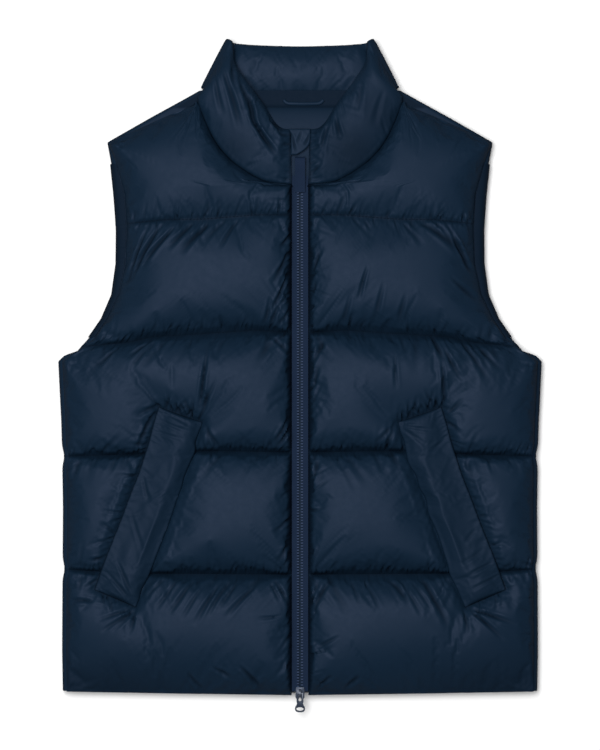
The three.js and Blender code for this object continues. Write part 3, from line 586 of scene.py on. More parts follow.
class Graph:
    """A material's node tree, built by one method that takes a node's type, settings and inputs."""

    def __init__(self, name: str) -> None:
        """Starts a material with an empty tree."""
        self.material = bpy.data.materials.new(name)
        self.material.use_nodes = True
        self.tree = self.material.node_tree
        self.tree.nodes.clear()

    def node(self, kind: str, settings: dict, inputs: dict, output: int | str = 0) -> Wire:
        """Adds a node.

        Args:
            kind: The node's type.
            settings: Its properties, set first.
            inputs: The values or links of its sockets, by name or number.
            output: Which output to return.

        Returns:
            The output.
        """
        made = self.tree.nodes.new(kind)
        for key, value in settings.items():
            setattr(made, key, value)
        for key, value in inputs.items():
            if isinstance(value, Wire):
                self.tree.links.new(value.socket, made.inputs[key])
            else:
                made.inputs[key].default_value = value
        return Wire(self, made.outputs[output])

    def blend(self, share: Wire, first: tuple, second: "tuple | Wire") -> Wire:
        """A colour between two, by a share."""
        ends = {"Factor": share, 6: (*first, 1)}
        ends[7] = second if isinstance(second, Wire) else (*second, 1)
        return self.node("ShaderNodeMix", {"data_type": "RGBA"}, ends, 2)

    def finish(self, shader: Wire) -> bpy.types.Material:
        """Ends the tree in the shader."""
        self.node_output(shader)
        return self.material

    def node_output(self, shader: Wire) -> None:
        """Adds the output node."""
        out = self.tree.nodes.new("ShaderNodeOutputMaterial")
        self.tree.links.new(shader.socket, out.inputs["Surface"])


@dataclass(frozen=True)
class NylonFinish:
    """Down-proof woven nylon with a satin shine, crinkled along its stitching."""

    name: str = "navy_nylon"
    deep: tuple[float, float, float] = (0.0038, 0.0124, 0.0262)
    lit: tuple[float, float, float] = (0.0054, 0.0150, 0.0306)
    roughness: float = 0.5
    dull: float = 0.3  # roughness added inside the folds
    thread: float = 0.0005  # spacing of the weave's threads, in metres
    crinkle: float = 0.0008
    shade: float = 0.5  # painted shade: share of the colour left at the bottom of a fold
    streak: tuple[float, float] = (330.0, 34.0)  # streaks of crinkle to a metre, across and along them

    def make(self) -> bpy.types.Material:
        """Makes the material.

        Returns:
            The material, which reads the piece's Cut map, how near its seams are and the painted shade of its
            folds and seams.
        """
        graph = Graph(self.name)
        place = graph.node("ShaderNodeTexCoord", {}, {}, "Object")
        cut = graph.node("ShaderNodeUVMap", {"uv_map": "Cut"}, {})
        # the fold attribute is painted shade: it darkens the colour and adds roughness in folds and seams
        pucker, rows, sides, fold = (
            graph.node("ShaderNodeAttribute", {"attribute_name": name}, {}, "Fac")
            for name in ("pucker", "rows", "sides", "fold")
        )
        cloud = self._noise(graph, place, 14, 3)
        fine = self._noise(graph, place, 150, 4)
        crinkle = self._noise(graph, place, 75, 5, 0.9)
        split = graph.node("ShaderNodeSeparateXYZ", {}, {"Vector": cut})
        down = graph.node("ShaderNodeSeparateXYZ", {}, {"Vector": cut}, 1)
        away_rows = self._streaks(graph, split + down * 0.4, down)
        away_sides = self._streaks(graph, down + split * 0.5, split)
        turns = 2 * math.pi / self.thread
        weave = (split * turns).sine() * (down * turns).sine()
        share = (cloud * 0.7 + fine * 0.3).held()
        # painted shade: where fold is high the colour goes towards this darker colour
        dark = tuple(self.shade * part for part in self.deep)
        colour = graph.blend(fold * -1 + 1, dark, graph.blend(share, self.deep, self.lit))
        rough = mix(self.roughness - 0.06, self.roughness + 0.06, fine) + fold * self.dull
        height = away_rows * rows + away_sides * sides + crinkle * (pucker * 0.28 + 0.05) + fine * 0.04
        soft = graph.node(
            "ShaderNodeBump", {}, {"Strength": 0.55, "Distance": self.crinkle, "Height": height}
        )
        woven = graph.node(
            "ShaderNodeBump", {}, {"Strength": 0.12, "Distance": 0.00004, "Height": weave, "Normal": soft}
        )
        return graph.finish(
            graph.node(
                "ShaderNodeBsdfPrincipled",
                {},
                {
                    "Base Color": colour,
                    "Roughness": rough,
                    "Specular IOR Level": 0.1,
                    "Specular Tint": (0.56, 0.66, 1, 1),
                    "Normal": woven,
                },
            )
        )

    def _streaks(self, graph: Graph, across: Wire, along: Wire) -> Wire:
        """Fine crinkle drawn out along one way."""
        scaled = {0: across * self.streak[0], 1: along * self.streak[1]}
        place = graph.node("ShaderNodeCombineXYZ", {}, scaled)
        return self._noise(graph, place, 1, 2, 0.3)

    @staticmethod
    def _noise(graph: Graph, place: Wire, scale: float, detail: float, twist: float = 0) -> Wire:
        """A noise texture's value."""
        inputs = {"Vector": place, "Scale": scale, "Detail": detail, "Distortion": twist}
        return graph.node("ShaderNodeTexNoise", {}, inputs)


@dataclass(frozen=True)
class TapeFinish:
    """Woven zip tape: herringbone rows with a dull face."""

    name: str = "zip_tape"
    dark: tuple[float, float, float] = (0.0040, 0.0105, 0.0260)
    light: tuple[float, float, float] = (0.0080, 0.0175, 0.0400)
    rib: float = 0.0011

    def make(self) -> bpy.types.Material:
        """Makes the material.

        Returns:
            The material, on object coordinates.
        """
        graph = Graph(self.name)
        place = graph.node("ShaderNodeTexCoord", {}, {}, "Object")
        across = graph.node("ShaderNodeSeparateXYZ", {}, {"Vector": place}, 0)
        along = graph.node("ShaderNodeSeparateXYZ", {}, {"Vector": place}, 1)
        turns = 2 * math.pi / self.rib
        zigzag = graph.node("ShaderNodeMath", {"operation": "PINGPONG"}, {0: across, 1: self.rib})
        rib = ((along + zigzag) * turns).sine() * 0.5 + 0.5
        colour = graph.blend(rib, self.dark, self.light)
        bump = graph.node("ShaderNodeBump", {}, {"Strength": 0.5, "Distance": 0.0002, "Height": rib})
        return graph.finish(
            graph.node(
                "ShaderNodeBsdfPrincipled",
                {},
                {
                    "Base Color": colour,
                    "Roughness": 0.7,
                    "Specular IOR Level": 0.12,
                    "Specular Tint": (0.6, 0.68, 1, 1),
                    "Normal": bump,
                },
            )
        )


@dataclass(frozen=True)
class HardFinish:
    """A moulded or lacquered finish with small scuffs."""

    name: str
    colour: tuple[float, float, float]
    worn: tuple[float, float, float]
    roughness: float
    metallic: float = 0.0
    specular: float = 0.3

    def make(self) -> bpy.types.Material:
        """Makes the material.

        Returns:
            The material, on object coordinates.
        """
        graph = Graph(self.name)
        place = graph.node("ShaderNodeTexCoord", {}, {}, "Object")
        inputs = {"Vector": place, "Scale": 900, "Detail": 5}
        speck = graph.node("ShaderNodeTexNoise", {}, inputs)
        rub = graph.node("ShaderNodeTexNoise", {}, {"Vector": place, "Scale": 240, "Detail": 2})
        edge = graph.node("ShaderNodeNewGeometry", {}, {}, "Pointiness")
        worn = (((edge - 0.53) * 9).held() * (speck * 0.8 + 0.3)).held()
        colour = graph.blend(worn, self.colour, self.worn)
        rough = rub * 0.22 + (self.roughness - 0.1)
        bump = graph.node("ShaderNodeBump", {}, {"Strength": 0.2, "Distance": 0.00005, "Height": speck})
        return graph.finish(
            graph.node(
                "ShaderNodeBsdfPrincipled",
                {},
                {
                    "Base Color": colour,
                    "Roughness": rough,
                    "Metallic": self.metallic,
                    "Specular IOR Level": self.specular,
                    "Normal": bump,
                },
            )
        )


@dataclass
class Finishes:
    """The vest's materials, each made once."""

    nylon: bpy.types.Material = field(default_factory=lambda: NylonFinish().make())
    tape: bpy.types.Material = field(default_factory=lambda: TapeFinish().make())
    teeth: bpy.types.Material = field(
        default_factory=lambda: HardFinish(
            "zip_teeth", (0.012, 0.024, 0.055), (0.030, 0.048, 0.095), 0.55, specular=0.06
        ).make()
    )
    metal: bpy.types.Material = field(
        default_factory=lambda: HardFinish(
            "zip_metal", (0.020, 0.030, 0.052), (0.22, 0.24, 0.28), 0.4, metallic=0.35, specular=0.3
        ).make()
    )


def dress(piece: bpy.types.Object, material: bpy.types.Material, slot: str, body: str, *nodes: str) -> None:
    """Gives a finished piece its material and body, and hides the solids it stands for.

    Args:
        piece: The piece.
        material: Its material.
        slot: The material slot's name, not used.
        body: The body it rides on.
        nodes: The solids that it replaces.
    """
    piece.data.materials.clear()
    piece.data.materials.append(material)
    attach(piece, body)
    if nodes:
        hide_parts(*nodes)
    LOG.info("%s: %d faces", piece.name, len(piece.data.polygons))


def painted_fold_shade(depth: np.ndarray, seam: np.ndarray) -> np.ndarray:
    """How much painted shade darkens the folds and the stitched seams, from 0 to 1.

    Args:
        depth: The folds' depths.
        seam: The distance to the nearest seam.

    Returns:
        The painted shade, most along the bottom of a deep fold and in the seam.
    """
    return np.clip(np.clip(depth / 2.2, 0, 1) ** 1.6 + 0.75 * bell(seam / 1.3), 0, 1)


def normals_of(grid: np.ndarray, around: bool = False) -> np.ndarray:
    """The unit normals of a grid's surface at its points, on the side that its faces turn to."""
    if around:
        wide = np.concatenate([grid[:, -1:], grid, grid[:, :1]], 1)
        across = (wide[:, 2:] - wide[:, :-2]) / 2
    else:
        across = np.gradient(grid, axis=1)
    down = np.gradient(grid, axis=0)
    found = np.cross(down, across)
    size = np.linalg.norm(found, axis=-1, keepdims=True)
    return found / np.maximum(size, 1e-9)


def close_rings(rings: np.ndarray) -> list:
    """The faces of a closed body of rings, with a flat face over each end.

    Args:
        rings: The rings' points, rows by columns by three.

    Returns:
        The faces.
    """
    rows, columns = rings.shape[:2]
    faces: list = list(grid_faces(rows, columns, True))
    faces.append(np.arange(columns))
    faces.append(np.arange((rows - 1) * columns, rows * columns)[::-1])
    return faces


def closed_body(name: str, rings: np.ndarray, cut: np.ndarray, sharp: float = 55) -> bpy.types.Object:
    """Makes a closed piece of rings with its faces turned out and its cut as its UV map.

    Args:
        name: The piece's name.
        rings: The rings' points, in millimetres, rows by columns by three.
        cut: The same points' flat coordinates, in millimetres.
        sharp: The angle in degrees past which an edge is shaded sharp.

    Returns:
        The piece.
    """
    piece = make_object(name, rings, close_rings(rings))
    set_uv(piece, cut)
    turn_out(piece)
    shade(piece, sharp)
    return piece


def turn_out(piece: bpy.types.Object) -> None:
    """Turns a closed piece's faces outward."""
    shape = bmesh.new()
    shape.from_mesh(piece.data)
    bmesh.ops.recalc_face_normals(shape, faces=shape.faces)
    shape.to_mesh(piece.data)
    shape.free()


def pick(piece: bpy.types.Object) -> None:
    """Makes a piece the only selected one and the active one."""
    bpy.ops.object.select_all(action="DESELECT")
    piece.select_set(True)
    bpy.context.view_layer.objects.active = piece


def shade(piece: bpy.types.Object, sharp: float) -> None:
    """Shades a piece smooth, apart from edges past an angle in degrees."""
    pick(piece)
    bpy.ops.object.shade_smooth_by_angle(angle=math.radians(sharp))


@dataclass(frozen=True)
class Drape:
    """How one front lies: the seed and the lean of its gathers, and its folds, placed one by one."""

    seed: int
    lean_up: float  # of the gathers over a quilt line
    lean_zip: float  # of the gathers beside the zip
    folds: tuple[Crease, ...]
    welt_folds: tuple[Crease, ...]


@dataclass
class FrontPanel:
    """A padded front: a quilted face puffed between its stitching over a plain inner face."""

    side: Side
    cut: Cut
    drape: Drape
    step: float = 3.2
    inner: float = 22.35
    wall: float = 4.0
    loft: float = 20.0
    edge_roll: float = 8.0
    side_roll: tuple[float, float] = (84.0, 58.0)  # below the armhole and beside it
    side_height: float = 0.36  # share of the padding left where the side starts to slope
    hem_roll: tuple[float, float] = (32.0, 88.0)  # near the zip and near the side
    hem_height: float = 0.0
    corner_painted_shade: float = 0.55  # painted shade where the cloth turns under beside the hem
    welt_sink: float = 0.5
    welt_reach: float = 14.0
    run: ClothRun = field(default_factory=lambda: ClothRun(grow=0.012, pressure=6))

    def flat(self) -> tuple[np.ndarray, np.ndarray, np.ndarray]:
        """The cut's grid.

        Returns:
            The rows' levels and the points' two flat coordinates.
        """
        corner = self.cut.neck[-1]
        gap = self.cut.seam_gap
        levels = self.cut.levels(self.cut.level_through(corner[0] + gap, corner[1] - gap), self.step)
        start, end = self.cut.row_start(levels), self.cut.row_end(levels, 2)
        share = np.linspace(0, 1, int(262 / self.step) + 1)
        x = start[:, None] + (end - start)[:, None] * share
        return levels, x, self.cut.row_height(levels[:, None], x)

    def puckers(self, x: np.ndarray, y: np.ndarray) -> np.ndarray:
        """Low waves along the quilt lines and edges, which the puffed cloth gathers into.

        Args:
            x: The points' distance from the centre line.
            y: Their height on the vest.

        Returns:
            The height that each point is lifted by.
        """
        lift = np.zeros(x.shape)
        for line in range(1, 5):
            away = y - self.cut.line_height(line, x)
            for over in (1, -1):
                near = np.maximum(away * over, 0)
                wave = Ruffle(self.drape.seed + 10 * line + over, 5.5)(x - 0.3 * over * near)
                reach = 13 + 6 * Ruffle(self.drape.seed + 70 + line + over, 25)(x)
                lift += np.where(near > 0, wave * bell((near - 8) / np.maximum(reach, 6)), 0)
        near = x - self.cut.zip_half_gap
        reach = 15 + 7 * Ruffle(self.drape.seed + 4, 21)(y)
        wave = Ruffle(self.drape.seed + 3, 6)(y + 0.5 * near)
        lift += wave * bell((near - 6) / np.maximum(reach, 7)) * (y < self.cut.neck[0][1])
        rim = chain_distance(self.cut.front_edge(), x, y)
        lift += 0.7 * Ruffle(self.drape.seed + 6, 7)(x * 0.5 + y) * bell((rim - 6) / 10) * (near > 60)
        return 0.22 * lift

    def gathers(self) -> list[Gathers]:
        """The small folds along every seam of the front."""
        found = []
        cut, seed = self.cut, self.drape.seed
        for line in range(1, 5):
            edge = np.interp(cut.line_height(line, 230), *self.side_line())
            xs = np.arange(cut.zip_half_gap + 2, edge - 1, 6.0)
            seam = list(zip(xs, cut.line_height(line, xs)))
            long = (14, 0.6, (26, 62), (2.4, 4.4), (0.4, 1.5))
            if line == 1:
                long = (18, 0.7, (24, 52), (2, 3.6), (0.3, 1.1))
            found.append(Gathers(seam, -1, *long, seed + line))
            found.append(Gathers(seam, -1, 4.0, 0.3, (4, 24), (0.9, 1.7), (0.3, 1.3), seed + 10 + line))
            up = self.drape.lean_up
            found.append(Gathers(seam, 1, 4.0, up, (4, 24), (0.9, 1.6), (0.7, 2.3), seed + 20 + line))
            found.append(Gathers(seam, 1, 17, up, (18, 40), (1.3, 2.6), (0.5, 1.6), seed + 30 + line))
        lean = self.drape.lean_zip
        zip_edge = [(cut.zip_half_gap, 218.0), (cut.zip_half_gap, -369.0)]
        found.append(Gathers(zip_edge, 1, 6, lean, (6, 38), (1.0, 1.9), (0.4, 1.7), seed + 50, 0.8))
        found.append(Gathers(zip_edge, 1, 8, 0, (4, 14), (1.0, 1.8), (0.2, 1.0), seed + 51, 0.8))
        found.append(Gathers(cut.neck, -1, 5, 0.1, (6, 34), (1.3, 2.4), (0.2, 0.9), seed + 60))
        side = [(row[2], row[0]) for row in cut.outline if -370 < row[0] < 20]
        found.append(Gathers(side, 1, 6, 0.2, (5, 26), (1.3, 2.4), (0.2, 1.0), seed + 70))
        hole = [(row[2], row[0]) for row in cut.outline if 20 < row[0] < 272]
        found.append(Gathers(hole, 1, 7, 0.3, (5, 40), (1.4, 2.6), (0.2, 0.9), seed + 80))
        shoulder = [(row[2], row[0]) for row in cut.outline if 270 < row[0] < 318]
        found.append(Gathers(shoulder, 1, 5, 0.1, (5, 40), (1.4, 2.6), (0.2, 0.9), seed + 90))
        welt = cut.welt_stitching()
        found.append(Gathers(welt, 1, 4.0, 0.4, (5, 30), (1.0, 2.0), (0.4, 2.0), seed + 100, 0.4))
        top = [(cut.welt_front[0][0], cut.welt_front[0][1]), cut.welt_side[0]]
        found.append(Gathers(top, 1, 4.2, 0.15, (14, 32), (1.0, 1.8), (1.6, 3.2), seed + 120, 0.6))
        hem = [(cut.zip_half_gap, -372.0), (270.0, -369.0)]
        found.append(Gathers(hem, 1, 9, 0.2, (5, 26), (1.5, 3.0), (0.1, 0.8), seed + 110, 0.6))
        return found

    def side_line(self) -> tuple[list[float], list[float]]:
        """The front's side as heights and half widths."""
        return [row[0] for row in self.cut.outline], [row[2] for row in self.cut.outline]

    def height(self, x: np.ndarray, y: np.ndarray) -> np.ndarray:
        """The face's height before the cloth is puffed.

        Args:
            x: The points' distance from the centre line.
            y: Their height on the vest.

        Returns:
            The height of each point over the floor.
        """
        rim = chain_distance(self.cut.front_edge(), x, y)
        side = [(row[2], row[0]) for row in self.cut.outline if row[0] < 318]
        aside = chain_distance(side, x, y) / np.interp(y, (0, 80), self.side_roll)
        hem = (y - self.cut.lines[5][1][0]) / np.interp(x, (70, 250), self.hem_roll)
        slope = mix(self.side_height, 1, ease(aside)) * mix(self.hem_height, 1, ease(hem))
        stitched = chain_distance(self.cut.welt_stitching(), x, y)
        opening = chain_distance(self.cut.welt_front, x, y)
        near = np.minimum(np.minimum(stitched, opening) / self.welt_reach, 1)
        under = self.cut.under_welt(x, y)
        press = np.where(under, 1 - self.welt_sink, 1 - self.welt_sink * (1 - near) ** 2)
        full = arch(rim / self.edge_roll) * self.cut.baffle(x, y) * slope * press
        return self.inner + self.wall + self.loft * full

    def build(self, finishes: Finishes) -> None:
        """Builds the front.

        Args:
            finishes: The vest's materials.
        """
        levels, x, y = self.flat()
        z = self.height(x, y)
        under = self.cut.under_welt(x, y)
        stitched = chain_distance(self.cut.welt_stitching(), x, y)
        pins = np.zeros(x.shape, bool)
        pins[[0, -1]] = True
        pins[:, [0, -1]] = True
        for line in range(1, 5):
            pins[np.argmin(np.abs(levels - line))] = True
        pins |= under | (stitched < 1.4)
        z = z + self.puckers(x, y) * ~pins
        grid = finer(self.run.puff(np.stack([x, y, z], -1), pins))
        flat = finer(np.stack([x, y], -1))
        held = finer(pins[..., None].astype(float))[..., 0]
        self._close(grid, flat, self._crease(grid, flat, held), finishes)

    def _crease(self, grid: np.ndarray, flat: np.ndarray, held: np.ndarray) -> np.ndarray:
        """Presses the folds and the gathers into the puffed face, and returns their depths."""
        x, y = flat[..., 0], flat[..., 1]
        depth = np.zeros(x.shape)
        for fold in [*self.drape.folds, *self.gathers()]:
            fold.carve(depth, x, y)
        rim = chain_distance(self.cut.front_edge(), x, y)
        free = np.clip(rim / 3, 0, 1) * np.clip(self.cut.quilt_distance(x, y) / 2, 0, 1)
        free *= np.where(self.cut.under_welt(x, y), 0, 1) * np.clip(1.2 - held, 0, 1)
        grid += normals_of(grid) * (-depth * free)[..., None]
        grid[..., 2] = np.maximum(grid[..., 2], self.inner + 1.5)
        return depth

    def _close(
        self, grid: np.ndarray, flat: np.ndarray, depth: np.ndarray, finishes: Finishes
    ) -> None:
        """Closes the face over the plain inner face and dresses the piece."""
        inner = grid[:, [-1, 0]] * (1, 1, 0) + (0, 0, self.inner)
        rings = np.concatenate([grid, inner], 1) * (self.side.value, 1, 1)
        uv = np.concatenate([flat, flat[:, [-1, 0]]], 1)
        name = self.side.name.lower()
        piece = closed_body(f"front_{name}", rings, uv)
        seam = self.cut.quilt_distance(uv[..., 0], uv[..., 1])
        rim = chain_distance(self.cut.front_edge(), uv[..., 0], uv[..., 1])
        stitched = chain_distance(self.cut.welt_stitching(), uv[..., 0], uv[..., 1])
        zip_gap = uv[..., 0] - self.cut.zip_half_gap
        set_value(piece, "pucker", np.exp(-np.minimum(np.minimum(seam, rim), stitched) / 16))
        set_value(piece, "rows", np.exp(-seam / 9))
        set_value(piece, "sides", np.exp(-np.minimum(zip_gap, stitched) / 8))
        depth = np.concatenate([depth, np.zeros((depth.shape[0], 2))], 1)
        # painted shade: the folds, the seams and the gap beside the zip are darkened
        near = np.minimum(np.minimum(seam, stitched), np.maximum(zip_gap - 0.6, 0))
        rise = uv[..., 1] - self.cut.lines[5][1][0]
        # painted shade in the corners beside the hem, where the cloth turns under
        corner = self.corner_painted_shade * bell(rise / 42) * np.clip((uv[..., 0] - 110) / 110, 0, 1)
        set_value(piece, "fold", np.maximum(painted_fold_shade(depth, near), corner))
        dress(piece, finishes.nylon, "nylon", BODY, f"front_panel_{name}")


@dataclass
class BackPanel:
    """The padded back, whose quilted underside lies flat where it rests, with rolled edges."""

    cut: Cut
    step: float = 4.2
    top: float = 22.0
    groove: float = 14.0
    groove_half: float = 26.0
    inner_columns: int = 62
    crown: float = 6.0  # of the lining inside the neck
    crown_reach: float = 25.0
    crown_end: float = 313.0  # below the hanger loop
    # painted shade on the lining inside the neck
    lining_painted_shade: float = 0.2
    strip_painted_shadow: float = 0.75  # painted shadow of the collar on the strip under it
    seed: int = 900
    edge: tuple[tuple[float, float], ...] = (
        # distance in from the outline, share of the height
        (14, 0),
        (9, 0.03),
        (6, 0.1),
        (3.4, 0.19),
        (1.6, 0.3),
        (0.4, 0.42),
        (0, 0.55),
        (0.4, 0.7),
        (1.4, 0.83),
        (3.2, 0.94),
        (5.4, 1),
    )

    def under(self, x: np.ndarray, y: np.ndarray) -> np.ndarray:
        """The underside's height, which a quilt line lifts in a groove."""
        return self.groove * (1 - arch(self.cut.quilt_distance(np.abs(x), y) / self.groove_half))

    def build(self, finishes: Finishes) -> None:
        """Builds the back.

        Args:
            finishes: The vest's materials.
        """
        levels = self.cut.levels(0, self.step)
        levels = np.sort(np.concatenate([levels, (levels[1:] + levels[:-1]) / 2]))
        end = self.cut.row_end(levels, 1)[:, None]
        insets = np.array([step[0] for step in self.edge])
        shares = np.array([step[1] for step in self.edge])
        count = int(2 * 268 / self.step)
        middle = (end - insets[0]) * np.arange(count) / count
        half = np.concatenate([middle, end - insets], 1)
        rise = np.concatenate([np.zeros(count), shares])
        x = np.concatenate([-half[:, :0:-1], half], 1)
        rise = np.concatenate([rise[:0:-1], rise])
        y = self.cut.row_height(levels[:, None], np.abs(x))
        z = mix(self.under(x, y), self.top, rise)
        depth = np.zeros(x.shape)
        for side in Side:
            for gather in self.gathers(side):
                gather.carve(depth, x * side.value, y)
        free = np.clip(self.cut.quilt_distance(np.abs(x), y) / 3, 0, 1) * (1 - rise)
        z = np.clip(z + depth * free, 0, self.top)
        self._close(np.stack([x, y, z], -1), depth * free, finishes)

    def gathers(self, side: Side) -> list[Gathers]:
        """The small folds along the back's quilt lines and sides, on one half."""
        found = []
        for line in range(1, 5):
            xs = np.arange(0.0, 272 if line > 2 else 215, 6.0)
            seam = list(zip(xs, self.cut.line_height(line, xs)))
            seed = self.seed + line * 7 + side.value
            for over in (1, -1):
                shape = (5.0, 0.2 * over, (8, 40), (1.8, 3.4), (0.3, 1.6))
                found.append(Gathers(seam, over, *shape, seed + 30 * over))
        rim = [(row[1] - 6, row[0]) for row in self.cut.outline if -370 < row[0] < 272]
        seed = self.seed + 100 + side.value
        found.append(Gathers(rim, 1, 7, 0.1, (8, 36), (1.8, 3.6), (0.3, 1.6), seed))
        return found

    def neck_crown(self, x: np.ndarray, y: np.ndarray) -> np.ndarray:
        """How far the lining stands up inside the open neck."""
        seam = np.array(self.cut.neck)
        inside = y > np.interp(np.abs(x), seam[:, 0], seam[:, 1], left=seam[0, 1])
        inside &= np.abs(x) < seam[-1, 0]
        away = chain_distance([(0, seam[0, 1]), *self.cut.neck], np.abs(x), y)
        end = arch((self.crown_end - y) / self.crown_reach)
        return self.crown * inside * arch(away / self.crown_reach) * end

    def _close(self, grid: np.ndarray, depth: np.ndarray, finishes: Finishes) -> None:
        """Closes the quilted underside with the plain inner face and dresses the piece."""
        share = np.linspace(0, 1, self.inner_columns)[None, 1:-1]
        inner_x = mix(grid[:, -1:, 0], grid[:, :1, 0], share)
        inner_y = mix(grid[:, -1:, 1], grid[:, :1, 1], share)
        inner = np.stack([inner_x, inner_y, self.top + self.neck_crown(inner_x, inner_y)], -1)
        rings = np.concatenate([grid, inner], 1)
        uv = rings[..., :2]
        piece = closed_body("back", rings, uv)
        seam = self.cut.quilt_distance(np.abs(uv[..., 0]), uv[..., 1])
        set_value(piece, "pucker", np.exp(-seam / 16))
        set_value(piece, "rows", np.exp(-seam / 9))
        # painted shade on the lining, painted shadow of the collar on the strip, and painted shade in the
        # folds and seams outside
        lining = np.where(inner_y > self.crown_end - 2, self.strip_painted_shadow, self.lining_painted_shade)
        outside = painted_fold_shade(depth, seam[:, : depth.shape[1]])
        set_value(piece, "fold", np.concatenate([outside, lining], 1))
        dress(piece, finishes.nylon, "nylon", BODY, "back_panel")


def smooth_through(values: np.ndarray, along: np.ndarray, places: np.ndarray) -> np.ndarray:
    """Smooth curves through values.

    Args:
        values: A row for each station, in columns.
        along: How far along each station lies.
        places: Where the curves are wanted.

    Returns:
        The values at those places.
    """
    slopes = np.gradient(values, along, axis=0)
    k = np.clip(np.searchsorted(along, places, side="right") - 1, 0, len(along) - 2)
    span = (along[k + 1] - along[k])[:, None]
    s = (places - along[k])[:, None] / span
    ends = values[k] * (1 + 2 * s) * (1 - s) ** 2 + values[k + 1] * (3 - 2 * s) * s**2
    return ends + span * (slopes[k] * s * (1 - s) ** 2 - slopes[k + 1] * (1 - s) * s**2)


